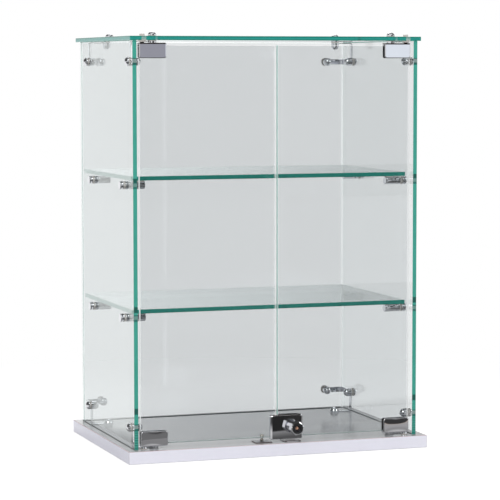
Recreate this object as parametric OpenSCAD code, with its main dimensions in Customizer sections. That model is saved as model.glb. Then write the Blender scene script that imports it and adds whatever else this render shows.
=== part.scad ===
// Countertop glass display case: a laminated base board, toughened glass panels held by corner
// strips and domed screws, two glass shelves on studs, and two pivot-hung glass doors with a lock.
// X runs to the right, Y to the back and Z up. The origin is the middle of the base's underside.

/* [Base] */
// Width of the base board, left to right
base_w = 458; // [420:1:700]
// Depth of the base board, front to back
base_d = 315; // [280:1:500]
// Thickness of the finished base board
base_t = 18; // [16:1:30]
// Thickness of the sheets on the top and underside of the board
sheet_t = 0.8; // [0.5:0.1:1.5]
// Thickness of the bands round the board's edges
band_t = 1; // [0.6:0.1:2]
// Bevel on the outer corners of the edge bands
band_bevel = 0.4; // [0.1:0.1:0.5]

/* [Glass panels] */
// Thickness of every pane of glass
glass_t = 6; // [5:0.5:8]
// Height of the side and back panels
glass_h = 582; // [480:1:900]
// Distance from the base's side edges in to the side panels
side_inset = 12; // [8:1:40]
// Distance from the base's front edge back to the side panels
front_inset = 14; // [12:1:40]
// Distance from the base's back edge in to the side panels
back_inset = 10; // [8:1:40]
// How far the back panel stands inside the side panels' back edges
back_setback = 1; // [0:0.5:4]
// Gap between the back panel and each side panel
panel_gap = 0.5; // [0.2:0.1:1]
// Overhang of the top panel past each side panel
top_over_side = 4.5; // [0:0.5:12]
// Overhang of the top panel past the side panels' front edges
top_over_front = 3; // [0:0.5:12]
// Overhang of the top panel past the side panels' back edges
top_over_back = 9; // [0:0.5:12]
// Ground bevel on the edges of the glass
arris = 0.5; // [0.2:0.1:0.8]

/* [Shelves] */
// Height of the lower shelf's top above the base
shelf_lower_h = 198.5; // [120:0.5:240]
// Height of the upper shelf's top above the base
shelf_upper_h = 389; // [300:0.5:440]
// Gap between a shelf and each side panel
shelf_side_gap = 2; // [1:0.5:5]
// Gap between a shelf and the back panel
shelf_back_gap = 1; // [0.5:0.5:5]
// Distance from the side panels' front edges back to the shelves
shelf_front_in = 25; // [20:1:60]

/* [Shelf studs] */
// Diameter of a stud's barrel and head
stud_d = 12; // [10:0.5:14]
// Length of the barrel inside the case
stud_len = 24; // [18:1:30]
// Length of the head outside the glass
stud_head_len = 5.5; // [4:0.5:8]
// Distance from the side panels' front edges back to the front studs
stud_front_in = 50.5; // [45:0.5:90]
// Distance from the side panels' back edges forward to the rear studs
stud_rear_in = 70.5; // [60:0.5:100]
// Height of the clear pad between a stud and its shelf
pad_t = 1.5; // [1:0.5:3]
// Diameter of a stud's threaded shank
stud_shank_d = 5; // [4:0.5:6]

/* [Corner fittings] */
// Distance from the side panels' front edges back to the front screws
screw_front_in = 20; // [20:0.5:30]
// Distance from the side panels' back edges forward to the rear screws
screw_rear_in = 43.5; // [35:0.5:50]
// Height of the side screws above the base, and their depth below the top panel
screw_rise = 30; // [28:0.5:40]
// Distance of the top, base and back screws in from the side panels
screw_side_in = 28.5; // [24:0.5:40]
// Width of a corner strip
strip_w = 8; // [6:0.5:10]
// Thickness of a corner strip
strip_t = 1.2; // [1:0.1:2]
// Outer radius of a corner strip's bend
strip_bend = 3; // [2.5:0.5:5]
// Diameter of a strip's round ends, and of the domed nuts on them
nut_d = 12.4; // [10:0.2:12.4]
// Length of a domed nut
nut_len = 9.5; // [8:0.5:12]
// Height of a nut's domed end
nut_dome = 4.2; // [3:0.2:5]
// Diameter of the domed heads outside the glass
head_d = 12.6; // [10:0.2:14]
// Height of a domed head
head_h = 5.5; // [4:0.5:7]
// Height of the domed part of a head
head_dome = 3.4; // [2:0.2:3.8]
// Diameter of a screw's shank
shank_d = 4; // [3:0.5:5]
// Thickness of the clear washers against the glass
washer_t = 0.8; // [0.5:0.1:1.5]
// Diameter of a base screw's cover cap
cap_d = 14; // [12:0.5:14]
// Height of a base screw's cover cap
cap_h = 6.3; // [5.6:0.1:8]

/* [Doors] */
// Gap between the two doors where they meet
door_gap = 2; // [1.5:0.5:4]
// Gap between a door's outer edge and the side panel
door_side_gap = 4.5; // [4:0.5:8]
// Gap above and below the door glass
door_end_gap = 7; // [6.5:0.5:10]
// Distance from the side panels' front edges back to the middle of the door glass
door_in = 7; // [6:0.5:7]

/* [Hinges] */
// Width of a hinge's clamp
hinge_w = 40; // [30:1:60]
// Height of a hinge's clamp
hinge_h = 22; // [18:1:30]
// Thickness of a clamp's front and back cheeks
cheek_t = 1.5; // [1.2:0.1:1.8]
// Thickness of the rubber liner between metal and glass
liner_t = 0.5; // [0.3:0.1:0.8]
// Gap between a clamp and the panel that it pivots on
hinge_clear = 3.5; // [3:0.5:4]
// Distance from the door's outer edge in to the pivot
pivot_in = 5.5; // [5:0.5:5.5]
// Radius of a clamp's rounded corners
hinge_corner = 3; // [1:0.5:5]
// Bevel round the clamps and the lock case
metal_bevel = 0.6; // [0.2:0.1:0.8]
// Diameter of a pivot pin
pin_d = 5; // [4:0.5:6]
// Diameter of a pivot pin's shoulder
pin_shoulder_d = 6.6; // [6.4:0.2:8]
// Diameter of the bush in the top panel
top_bush_d = 7.2; // [7:0.2:8]
// Height of the top bush above the glass
top_bush_proud = 3; // [2:0.5:4]
// Diameter of the bush in the base
base_bush_d = 9; // [8:0.5:11]
// Depth of the bush in the base
base_bush_depth = 12; // [8:1:13]
// Running clearance round pins, plug and bolt
run_clear = 0.05; // [0.03:0.01:0.08]

/* [Lock] */
// Width of the lock case
lock_w = 49.5; // [48:0.5:60]
// Height of the lock case
lock_h = 35.5; // [33:0.5:44]
// Depth of the lock case in front of the door glass
lock_d = 7.5; // [7.5:0.5:10]
// How far the lock case laps over the other door
lock_lap = 13.5; // [8:0.5:14]
// Distance of the lock's barrel in from the door's free edge
lock_in = 21; // [19:0.5:22]
// Wall thickness of the lock case
lock_wall = 2; // [1.5:0.5:2]
// Size of the hexagonal barrel, flat to flat
barrel_af = 18.5; // [15:0.5:20]
// Turn of the hexagon from a corner at the side
barrel_turn = 15; // [0:5:30]
// Length of the barrel in front of the case
barrel_len = 19; // [14:1:24]
// Diameter of the turning plug
plug_d = 12.4; // [11:0.2:13]
// Diameter of the round key post in the plug
post_d = 5; // [4:0.5:6]
// Width of the ring-shaped keyway round the post
keyway_w = 1.6; // [1:0.1:2]
// Distance of the crank pin from the plug's axis
crank_r = 7; // [6:0.5:7.5]
// Diameter of the crank pin
crank_pin_d = 3; // [2:0.5:3]
// Width of the flat bolt
bolt_w = 8; // [6:0.5:8]
// Thickness of the flat bolt
bolt_t = 3.2; // [2.4:0.2:3.2]

/* [Door stop and strike] */
// Length of each plate on the base, along the front
plate_len = 25; // [22:1:30]
// Depth of each plate, front to back
plate_d = 21; // [20:0.5:26]
// Thickness of each plate
plate_t = 1; // [0.8:0.1:1.4]
// Diameter of the stop pin's ball
stop_ball_d = 6.2; // [5:0.2:8]
// Height of the ball's middle above the base
stop_h = 8; // [7.4:0.2:14]
// Distance of the stop pin from the plate's middle
stop_offset = 1.5; // [0:0.5:4]

/* [Hidden] */
$fn = 48;
eps = 0.01;
fit_gap = 0.02;                          // between pressed or threaded pieces
half_w = base_w/2 - side_inset;          // outer face of a side panel
inner_x = half_w - glass_t;              // inner face of a side panel
front_y = -base_d/2 + front_inset;       // front edge of the side panels
back_y = base_d/2 - back_inset;          // back edge of the side panels
back_in_y = back_y - back_setback - glass_t;  // inner face of the back panel
floor_z = base_t;
roof_z = base_t + glass_h;
top_z = roof_z + glass_t;
lower_z = floor_z + shelf_lower_h;
upper_z = floor_z + shelf_upper_h;
core_w = base_w - 2*band_t;
core_d = base_d - 2*band_t;

// Corner fittings
front_screw_y = front_y + screw_front_in;
rear_screw_y = back_y - screw_rear_in;
screw_x = inner_x - screw_side_in;
low_screw_z = floor_z + screw_rise;
high_screw_z = roof_z - screw_rise;
screw_hole_d = shank_d + 1;
screw_reach = 6.5;                       // how far a shank goes into its nut
wood_d = 3.4;                            // wood screws into the board
wood_len = 11.5;
wood_head_d = 7.2;
wood_head_h = 2.4;

// Shelf studs
front_stud_y = front_y + stud_front_in;
rear_stud_y = back_y - stud_rear_in;
stud_hole_d = stud_shank_d + 1;
stud_reach = 10;
pad_len = 10;
pad_w = 8;
pad_grip = 0.8;                          // how far a pad comes down round its stud
groove_depth = 0.9;

// Doors and hinges
door_y = front_y + door_in;
door_x = inner_x - door_side_gap;        // outer edge of a door
door_z0 = floor_z + door_end_gap;
door_z1 = roof_z - door_end_gap;
pivot_x = door_x - pivot_in;
slot_t = glass_t + 2*liner_t;
hinge_d = slot_t + 2*cheek_t;
flange_t = door_end_gap - hinge_clear - liner_t;
liner_h = hinge_h - 1;
grub_d = 4;
grub_spots = [12, 28];                   // from the pivot along the clamp
bush_flange_d = 10.4;
top_flange_t = 2.4;
base_flange_t = 0.8;
bush_end_t = 1;                          // closed end of a bush
pin_end_gap = 0.5;

// Lock: its cavity holds the crank disc in front and the flat bolt behind
lock_x = door_gap/2 + lock_in;
lock_x0 = door_gap/2 - lock_lap;
lock_grip_x = door_gap/2 + 1;            // left end of the part that grips the glass
lock_z0 = door_z0 - liner_t - lock_wall;
lock_z = lock_z0 + lock_h/2;
lock_back_y = door_y - slot_t/2;         // back of the case, on the liner
lock_front_y = lock_back_y - lock_d;
cavity_y = lock_front_y + lock_wall;
cavity_x0 = lock_x - 11;
cavity_x1 = lock_x + 12.5;
cavity_z0 = lock_z0 + 3.5;
cavity_z1 = lock_z + 14.5;
disc_t = 1.2;
disc_gap = 0.1;
disc_d = 2*crank_r + crank_pin_d + 1;
bolt_y0 = cavity_y + disc_gap + disc_t + 0.4;
bolt_y = bolt_y0 + bolt_t/2;
crank_lift = crank_r*sin(45);            // half the bolt's travel
pin_play = 0.3;                          // clearance of the crank pin in its slot
bolt_slot_h = crank_pin_d + 2*pin_play;
bolt_head_h = bolt_slot_h + 4;
bolt_head_z = lock_z + crank_lift;       // middle of the bolt's head, unlocked
bolt_tip_z = lock_z0 + 0.3;
bolt_drop = 2*crank_lift;
bolt_pocket_z = bolt_tip_z - bolt_drop - 2;
spigot_d = plug_d + 2.6;
plug_bore_d = plug_d + 2*run_clear;
plug_recess = 0.6;
keyway_depth = 5;
stub_d = 4;
lock_grubs = [12, 30];                   // from the left end of the gripping part

// Plates on the base
plate_y0 = door_y - 9;                   // front edge of both plates
stop_x = -lock_x;                        // middle of the stop plate
stop_pin_x = stop_x + stop_offset;
stop_pin_y = door_y + glass_t/2 + 0.3 + stop_ball_d/2;
stop_stem_d = 3;
plate_screw_x = 9.5;
plate_screw_y = plate_y0 + 9.5;
plate_screw_d = 2.8;
plate_screw_head_d = 5;
plate_screw_len = 9;
strike_slot_w = bolt_w + 2;
strike_slot_d = bolt_t + 1.6;

glass_tint = [0.62, 0.84, 0.78, 0.35];
chrome_tint = [0.80, 0.81, 0.84];
sheet_tint = [0.60, 0.61, 0.64];
band_tint = [0.88, 0.88, 0.92];
board_tint = [0.72, 0.60, 0.45];
nylon_tint = [0.90, 0.88, 0.86];
rubber_tint = [0.16, 0.16, 0.17];

// Shared shapes

// A flat rectangle with its four corners cut at 45 degrees
module cut_rect(w, h, c) {
    polygon([[c, 0], [w - c, 0], [w, c], [w, h - c], [w - c, h], [c, h], [0, h - c], [0, c]]);
}

// A box from corner a to corner b with all its edges bevelled by c
module bevel_box(a, b, c) {
    s = b - a;
    translate(a) intersection() {
        linear_extrude(s[2]) cut_rect(s[0], s[1], c);
        translate([0, s[1], 0]) rotate([90, 0, 0]) linear_extrude(s[1]) cut_rect(s[0], s[2], c);
        rotate([90, 0, 90]) linear_extrude(s[0]) cut_rect(s[1], s[2], c);
    }
}

// A plain box from corner a to corner b
module corner_box(a, b) {
    translate(a) cube(b - a);
}

// A rectangle with its two upper corners rounded
module tab_shape(w, h, r) {
    square([w, h - r]);
    translate([r, 0]) square([w - 2*r, h]);
    for (x = [r, w - r]) translate([x, h - r]) circle(r);
}

// A cylinder along Z whose far end is a spherical cap of height cap
module domed_rod(d, h, cap) {
    ball_r = (d*d/4 + cap*cap)/(2*cap);
    intersection() {
        cylinder(d = d, h = h);
        translate([0, 0, h - ball_r]) sphere(ball_r, $fn = 96);
    }
}

// Both signs of a mirrored pair
module both_sides() {
    children();
    mirror([1, 0, 0]) children();
}

// Puts its children, which point along +Z, at one side panel's outer face pointing outwards
module on_side(side, y, z) {
    translate([side*half_w, y, z]) rotate([0, side*90, 0]) children();
}

// Puts its children at the back panel's outer face pointing backwards
module on_back(x, z) {
    translate([x, back_y - back_setback, z]) rotate([-90, 0, 0]) children();
}

// Puts its children at the top panel's upper face pointing up
module on_top(x, y) {
    translate([x, y, top_z]) children();
}

// Base board

module base_holes() {
    for (s = [-1, 1]) {
        translate([s*pivot_x, door_y, base_t - base_bush_depth])
            cylinder(d = base_bush_d + 2*fit_gap, h = base_bush_depth + 1);
        for (y = [front_screw_y, rear_screw_y])
            translate([s*screw_x, y, base_t - wood_len])
                cylinder(d = wood_d + 2*fit_gap, h = wood_len + 1);
        for (x = [-plate_screw_x, plate_screw_x])
            translate([s*stop_x + x, plate_screw_y, base_t - plate_screw_len])
                cylinder(d = plate_screw_d + 2*fit_gap, h = plate_screw_len + 1);
    }
    translate([stop_pin_x, stop_pin_y, base_t - 8])
        cylinder(d = stop_stem_d + 2*fit_gap, h = 9);
    corner_box([lock_x - strike_slot_w/2, bolt_y - strike_slot_d/2, bolt_pocket_z],
               [lock_x + strike_slot_w/2, bolt_y + strike_slot_d/2, base_t + 1]);
}

module base_core() {
    color(board_tint) difference() {
        corner_box([-core_w/2, -core_d/2, sheet_t], [core_w/2, core_d/2, base_t - sheet_t]);
        base_holes();
    }
}

module base_top_sheet() {
    color(sheet_tint) difference() {
        corner_box([-core_w/2, -core_d/2, base_t - sheet_t], [core_w/2, core_d/2, base_t]);
        base_holes();
    }
}

module base_bottom_sheet() {
    color(sheet_tint) corner_box([-core_w/2, -core_d/2, 0], [core_w/2, core_d/2, sheet_t]);
}

// The front and back bands run the full width, and the side bands fit between them
module end_band(dir) {
    color(band_tint) translate([-base_w/2, 0, 0]) rotate([90, 0, 90]) linear_extrude(base_w)
        polygon([[dir*core_d/2, 0], [dir*core_d/2, base_t],
                 [dir*(base_d/2 - band_bevel), base_t], [dir*base_d/2, base_t - band_bevel],
                 [dir*base_d/2, band_bevel], [dir*(base_d/2 - band_bevel), 0]]);
}

module side_band(dir) {
    color(band_tint) translate([0, core_d/2, 0]) rotate([90, 0, 0]) linear_extrude(core_d)
        polygon([[dir*core_w/2, 0], [dir*core_w/2, base_t],
                 [dir*(base_w/2 - band_bevel), base_t], [dir*base_w/2, base_t - band_bevel],
                 [dir*base_w/2, band_bevel], [dir*(base_w/2 - band_bevel), 0]]);
}

// Glass

module side_panel(side) {
    color(glass_tint) difference() {
        if (side < 0)
            bevel_box([-half_w, front_y, floor_z], [-inner_x, back_y, roof_z], arris);
        else
            bevel_box([inner_x, front_y, floor_z], [half_w, back_y, roof_z], arris);
        for (y = [front_screw_y, rear_screw_y], z = [low_screw_z, high_screw_z])
            on_side(side, y, z) translate([0, 0, -glass_t - 1]) cylinder(d = screw_hole_d, h = glass_t + 2);
        for (y = [front_stud_y, rear_stud_y], z = [lower_z, upper_z])
            on_side(side, y, stud_z(z)) translate([0, 0, -glass_t - 1])
                cylinder(d = stud_hole_d, h = glass_t + 2);
    }
}

module back_panel() {
    w = inner_x - panel_gap;
    color(glass_tint) difference() {
        bevel_box([-w, back_in_y, floor_z], [w, back_in_y + glass_t, roof_z], arris);
        for (s = [-1, 1], z = [low_screw_z, high_screw_z])
            on_back(s*screw_x, z) translate([0, 0, -glass_t - 1]) cylinder(d = screw_hole_d, h = glass_t + 2);
    }
}

module top_panel() {
    w = half_w + top_over_side;
    color(glass_tint) difference() {
        bevel_box([-w, front_y - top_over_front, roof_z], [w, back_y + top_over_back, top_z], arris);
        for (s = [-1, 1], y = [front_screw_y, rear_screw_y])
            translate([s*screw_x, y, roof_z - 1]) cylinder(d = screw_hole_d, h = glass_t + 2);
        for (s = [-1, 1])
            translate([s*pivot_x, door_y, roof_z - 1])
                cylinder(d = top_bush_d + 2*fit_gap, h = glass_t + 2);
    }
}

module shelf(z) {
    w = inner_x - shelf_side_gap;
    color(glass_tint)
        bevel_box([-w, front_y + shelf_front_in, z - glass_t], [w, back_in_y - shelf_back_gap, z], arris);
}

module door_glass_left() {
    color(glass_tint) bevel_box([-door_x, door_y - glass_t/2, door_z0],
                                [-door_gap/2, door_y + glass_t/2, door_z1], arris);
}

module door_glass_right() {
    color(glass_tint) bevel_box([door_gap/2, door_y - glass_t/2, door_z0],
                                [door_x, door_y + glass_t/2, door_z1], arris);
}

// Corner strips: an L whose legs run along +Z and +X from the corner of two inner faces.
// off_a and off_b are the gaps that washers leave between each leg and its face.
module corner_strip(leg_a, leg_b, off_a, off_b) {
    color(chrome_tint) difference() {
        union() {
            rotate([90, 0, 0]) linear_extrude(strip_w, center = true) {
                translate([off_a, off_b + strip_bend]) square([strip_t, leg_a - off_b - strip_bend]);
                translate([off_a + strip_bend, off_b]) square([leg_b - off_a - strip_bend, strip_t]);
                translate([off_a + strip_bend, off_b + strip_bend]) intersection() {
                    difference() {
                        circle(strip_bend);
                        circle(strip_bend - strip_t);
                    }
                    translate([-strip_bend, -strip_bend]) square(strip_bend);
                }
            }
            translate([off_a, 0, leg_a]) rotate([0, 90, 0]) cylinder(d = nut_d, h = strip_t);
            translate([leg_b, 0, off_b]) cylinder(d = nut_d, h = strip_t);
        }
        translate([off_a - 1, 0, leg_a]) rotate([0, 90, 0]) cylinder(d = shank_d + 0.4, h = strip_t + 2);
        translate([leg_b, 0, off_b - 1]) cylinder(d = shank_d + 0.4, h = strip_t + 2);
    }
}

module left_or_right(side) {
    mirror([side > 0 ? 1 : 0, 0, 0]) children();
}

module top_strip(side, y) {
    left_or_right(side) translate([-inner_x, y, roof_z]) mirror([0, 0, 1])
        corner_strip(screw_rise, screw_side_in, washer_t, washer_t);
}

module base_strip(side, y) {
    left_or_right(side) translate([-inner_x, y, floor_z])
        corner_strip(screw_rise, screw_side_in, washer_t, 0);
}

// The back strips share the rear side screws, so they lie on top of the upright strips there
module back_strip(side, z) {
    left_or_right(side) translate([-inner_x, back_in_y, z]) rotate([90, 0, 0])
        corner_strip(back_in_y - rear_screw_y, screw_side_in, washer_t + strip_t, washer_t);
}

// Screws through the glass, seen from outside: the glass's outer face is z = 0

// How deep the nut sits below the outer face when it holds a number of strips
function nut_seat(strips) = glass_t + washer_t + strips*strip_t;

module glass_screw(strips) {
    color(chrome_tint) {
        translate([0, 0, washer_t]) domed_rod(head_d, head_h, head_dome);
        translate([0, 0, -nut_seat(strips) - screw_reach])
            cylinder(d = shank_d, h = nut_seat(strips) + screw_reach + washer_t + eps);
    }
}

module glass_nut(strips) {
    color(chrome_tint) translate([0, 0, -nut_seat(strips)]) mirror([0, 0, 1]) difference() {
        union() {
            cylinder(d = nut_d, h = nut_len - nut_dome - 0.4);
            domed_rod(nut_d - 0.8, nut_len, nut_dome);
        }
        translate([0, 0, -1]) cylinder(d = shank_d + 2*fit_gap, h = screw_reach + 1.4);
    }
}

module washer_pair(d, hole) {
    color(nylon_tint) for (z = [0, -glass_t - washer_t]) translate([0, 0, z]) difference() {
        cylinder(d = d, h = washer_t);
        translate([0, 0, -1]) cylinder(d = hole, h = washer_t + 2);
    }
}

module at_side_screws() {
    for (s = [-1, 1], z = [low_screw_z, high_screw_z]) {
        on_side(s, front_screw_y, z) children(0);
        on_side(s, rear_screw_y, z) children(1);
    }
}

module at_back_screws() {
    for (s = [-1, 1], z = [low_screw_z, high_screw_z]) on_back(s*screw_x, z) children();
}

module at_top_screws() {
    for (s = [-1, 1], y = [front_screw_y, rear_screw_y]) on_top(s*screw_x, y) children();
}

module side_screws() {
    at_side_screws() {
        glass_screw(1);
        glass_screw(2);
    }
}

module side_nuts() {
    at_side_screws() {
        glass_nut(1);
        glass_nut(2);
    }
}

module back_screws() {
    at_back_screws() glass_screw(1);
}

module back_nuts() {
    at_back_screws() glass_nut(1);
}

module top_screws() {
    at_top_screws() glass_screw(1);
}

module top_nuts() {
    at_top_screws() glass_nut(1);
}

module clear_washers() {
    at_side_screws() {
        washer_pair(head_d - 0.6, screw_hole_d);
        washer_pair(head_d - 0.6, screw_hole_d);
    }
    at_back_screws() washer_pair(head_d - 0.6, screw_hole_d);
    at_top_screws() washer_pair(head_d - 0.6, screw_hole_d);
    at_studs() washer_pair(stud_d - 0.6, stud_hole_d);
}

// Screws into the board: four through the base strips, and two through each plate
module wood_screws() {
    color(chrome_tint) for (s = [-1, 1]) {
        for (y = [front_screw_y, rear_screw_y]) translate([s*screw_x, y, floor_z]) {
            translate([0, 0, strip_t]) domed_rod(wood_head_d, wood_head_h, wood_head_h - 0.4);
            translate([0, 0, -wood_len]) cylinder(d = wood_d, h = wood_len + strip_t + eps);
        }
        for (x = [-plate_screw_x, plate_screw_x]) translate([s*stop_x + x, plate_screw_y, floor_z]) {
            cylinder(d1 = plate_screw_d, d2 = plate_screw_head_d, h = plate_t);
            translate([0, 0, 0.3 - plate_screw_len]) cylinder(d = plate_screw_d, h = plate_screw_len);
        }
    }
}

// Each cap is a cone with a domed crown, hollow over the screw's head
module screw_caps() {
    crown_d = cap_d*0.74;
    cone_h = cap_h - 2.6;
    color(chrome_tint) for (s = [-1, 1], y = [front_screw_y, rear_screw_y])
        translate([s*screw_x, y, floor_z + strip_t]) difference() {
            union() {
                cylinder(d1 = cap_d, d2 = crown_d, h = cone_h);
                domed_rod(crown_d, cap_h, cap_h - cone_h);
            }
            translate([0, 0, -1]) cylinder(d = wood_head_d + 0.4, h = wood_head_h + 1.4);
        }
}

// Shelf studs

function stud_z(shelf_top) = shelf_top - glass_t - pad_t - stud_d/2;

module at_studs() {
    for (s = [-1, 1], y = [front_stud_y, rear_stud_y], z = [lower_z, upper_z])
        on_side(s, y, stud_z(z)) children();
}

// A V-shaped ring to cut a groove round a rod at height z
module groove_ring(d, z) {
    rotate_extrude() polygon([[d/2 - groove_depth, z], [d/2 + 1, z - groove_depth - 1],
                              [d/2 + 1, z + groove_depth + 1]]);
}

module stud_heads() {
    color(chrome_tint) at_studs() {
        translate([0, 0, washer_t]) difference() {
            cylinder(d = stud_d, h = stud_head_len);
            groove_ring(stud_d, stud_head_len/2);
        }
        depth = glass_t + washer_t + stud_reach;
        translate([0, 0, -depth]) cylinder(d = stud_shank_d, h = depth + washer_t + eps);
    }
}

module stud_barrels() {
    edge = 0.5;
    color(chrome_tint) at_studs() translate([0, 0, -glass_t - washer_t]) mirror([0, 0, 1]) difference() {
        union() {
            cylinder(d = stud_d, h = stud_len - edge);
            translate([0, 0, stud_len - edge]) cylinder(d1 = stud_d, d2 = stud_d - 2*edge, h = edge);
        }
        groove_ring(stud_d, stud_head_len);
        translate([0, 0, -1]) cylinder(d = stud_shank_d + 2*fit_gap, h = stud_reach + 2);
    }
}

// A pad is a saddle on the stud's inner end, and the shelf lies on it
module shelf_pads() {
    x1 = inner_x - washer_t - stud_len + 1;
    color(nylon_tint) both_sides() for (y = [front_stud_y, rear_stud_y], z = [lower_z, upper_z])
        difference() {
            corner_box([x1, y - pad_w/2, stud_z(z) + stud_d/2 - pad_grip],
                       [x1 + pad_len, y + pad_w/2, z - glass_t]);
            translate([x1 - 1, y, stud_z(z)]) rotate([0, 90, 0])
                cylinder(d = stud_d + 2*fit_gap, h = pad_len + 2);
        }
}

// Hinges: drawn for the lower left corner, with the pivot on the Z axis and the clamp's foot at z = 0

module at_hinge(side, top) {
    left_or_right(side) translate([-pivot_x, door_y, top ? roof_z - hinge_clear : floor_z + hinge_clear])
        mirror([0, 0, top ? 1 : 0]) children();
}

module hinge_clamp() {
    x0 = -pivot_in;
    y0 = -hinge_d/2;
    color(chrome_tint) difference() {
        intersection() {
            translate([x0, hinge_d/2, 0]) rotate([90, 0, 0]) linear_extrude(hinge_d)
                tab_shape(hinge_w, hinge_h, hinge_corner);
            bevel_box([x0, y0, 0], [x0 + hinge_w, -y0, hinge_h], metal_bevel);
        }
        corner_box([x0 - 1, -slot_t/2, flange_t], [x0 + hinge_w + 1, slot_t/2, hinge_h + 1]);
        translate([0, 0, -1]) cylinder(d = pin_d + 2*fit_gap, h = flange_t + 2);
        for (x = grub_spots) translate([x, slot_t/2 - 1, hinge_h/2]) rotate([-90, 0, 0])
            cylinder(d = grub_d + 2*fit_gap, h = cheek_t + 2);
    }
}

module hinge_liner() {
    x0 = -pivot_in;
    color(rubber_tint) difference() {
        corner_box([x0, -slot_t/2, flange_t], [x0 + hinge_w, slot_t/2, liner_h]);
        corner_box([x0 - 1, -glass_t/2, flange_t + liner_t], [x0 + hinge_w + 1, glass_t/2, liner_h + 1]);
    }
}

module hinge_grubs() {
    color(chrome_tint) for (x = grub_spots) translate([x, slot_t/2, hinge_h/2]) rotate([-90, 0, 0])
        grub_screw(cheek_t);
}

// A short set screw with a hexagonal socket
module grub_screw(len) {
    difference() {
        cylinder(d = grub_d, h = len);
        translate([0, 0, len - 0.8]) cylinder(d = 2.2, h = 2, $fn = 6);
    }
}

// A pin is pressed into the clamp's foot and turns in the bush below it
module pivot_pin(bush_flange, reach) {
    color(chrome_tint) {
        translate([0, 0, -reach]) cylinder(d = pin_d, h = reach + flange_t);
        translate([0, 0, -hinge_clear + bush_flange + 0.1])
            cylinder(d = pin_shoulder_d, h = hinge_clear - bush_flange - 0.1);
    }
}

module pivot_pins(side) {
    at_hinge(side, false)
        pivot_pin(base_flange_t, hinge_clear + base_bush_depth - bush_end_t - pin_end_gap);
    at_hinge(side, true)
        pivot_pin(top_flange_t, hinge_clear + glass_t + top_bush_proud - bush_end_t - pin_end_gap);
}

// A flanged bush that is closed at its far end, drawn with the panel's face at z = 0
module bush(d, depth, flange) {
    color(nylon_tint) difference() {
        union() {
            translate([0, 0, -depth]) cylinder(d = d, h = depth + eps);
            cylinder(d = bush_flange_d, h = flange);
        }
        translate([0, 0, bush_end_t - depth]) cylinder(d = pin_d + 2*run_clear, h = depth + flange);
    }
}

module pivot_bushes() {
    both_sides() {
        translate([-pivot_x, door_y, floor_z]) bush(base_bush_d, base_bush_depth, base_flange_t);
        translate([-pivot_x, door_y, roof_z]) mirror([0, 0, 1])
            bush(top_bush_d, glass_t + top_bush_proud, top_flange_t);
    }
}

// Lock: a case that grips the right door's free corner, with a barrel, a plug, a crank and a bolt

module lock_case() {
    w_grip = lock_x0 + lock_w - lock_grip_x;
    back_t = lock_wall;
    color(chrome_tint) difference() {
        union() {
            intersection() {
                translate([lock_x0, lock_back_y, lock_z0]) rotate([90, 0, 0]) linear_extrude(lock_d)
                    tab_shape(lock_w, lock_h, hinge_corner);
                bevel_box([lock_x0, lock_front_y, lock_z0],
                          [lock_x0 + lock_w, lock_back_y, lock_z0 + lock_h], metal_bevel);
            }
            corner_box([lock_grip_x, lock_back_y - 1, lock_z0],
                       [lock_grip_x + w_grip - metal_bevel, lock_back_y + slot_t + 1, lock_z0 + lock_wall]);
            translate([lock_grip_x, lock_back_y + slot_t + back_t, lock_z0]) rotate([90, 0, 0])
                linear_extrude(back_t) tab_shape(w_grip, lock_h, hinge_corner);
        }
        corner_box([cavity_x0, cavity_y, cavity_z0], [cavity_x1, lock_back_y + 1, cavity_z1]);
        translate([lock_x, lock_front_y - 1, lock_z]) rotate([-90, 0, 0])
            cylinder(d = spigot_d + 2*fit_gap, h = lock_wall + 2);
        corner_box([lock_x - bolt_w/2 - run_clear, bolt_y0 - run_clear, lock_z0 - 1],
                   [lock_x + bolt_w/2 + run_clear, bolt_y0 + bolt_t + run_clear, cavity_z0 + 1]);
        for (x = lock_grubs) translate([lock_grip_x + x, lock_back_y + slot_t - 1, lock_z])
            rotate([-90, 0, 0]) cylinder(d = grub_d + 2*fit_gap, h = back_t + 2);
    }
}

// Puts children that point along +Z on the lock's axis, pointing to the front, with z = 0 on the case
module on_lock() {
    translate([lock_x, lock_front_y, lock_z]) rotate([90, 0, 0]) children();
}

module lock_barrel() {
    across = barrel_af/cos(30);
    cone_h = 2.2;
    color(chrome_tint) on_lock() difference() {
        union() {
            intersection() {
                rotate([0, 0, barrel_turn]) cylinder(d = across, h = barrel_len, $fn = 6);
                union() {
                    cylinder(d = across + 1, h = barrel_len - cone_h);
                    translate([0, 0, barrel_len - cone_h])
                        cylinder(d1 = across + 1, d2 = barrel_af - 1.6, h = cone_h);
                }
            }
            translate([0, 0, -lock_wall]) cylinder(d = spigot_d, h = lock_wall + eps);
        }
        translate([0, 0, -lock_wall - 1]) cylinder(d = plug_bore_d, h = barrel_len + lock_wall + 2);
    }
}

module lock_plug() {
    color(rubber_tint) on_lock() difference() {
        union() {
            translate([0, 0, -lock_wall]) cylinder(d = plug_d, h = barrel_len + lock_wall - plug_recess);
            translate([0, 0, -lock_wall - disc_gap - disc_t]) cylinder(d = stub_d, h = disc_t + disc_gap + eps);
        }
        translate([0, 0, barrel_len - plug_recess - keyway_depth])
            cylinder(d = post_d + 2*keyway_w, h = keyway_depth + 1);
    }
}

// The post stands on the floor of the plug's keyway
module lock_post() {
    color([0.72, 0.45, 0.30]) on_lock() translate([0, 0, barrel_len - plug_recess - keyway_depth])
        domed_rod(post_d, keyway_depth, 0.6);
}

// The crank is drawn unlocked, with its pin up and to the right
module lock_crank() {
    color(chrome_tint) on_lock() translate([0, 0, -lock_wall - disc_gap - disc_t]) difference() {
        union() {
            cylinder(d = disc_d, h = disc_t);
            translate([crank_lift, crank_lift, -bolt_t - 0.2]) cylinder(d = crank_pin_d, h = bolt_t + 0.2 + eps);
        }
        translate([0, 0, -1]) cylinder(d = stub_d + 2*fit_gap, h = disc_t + 2);
    }
}

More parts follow.
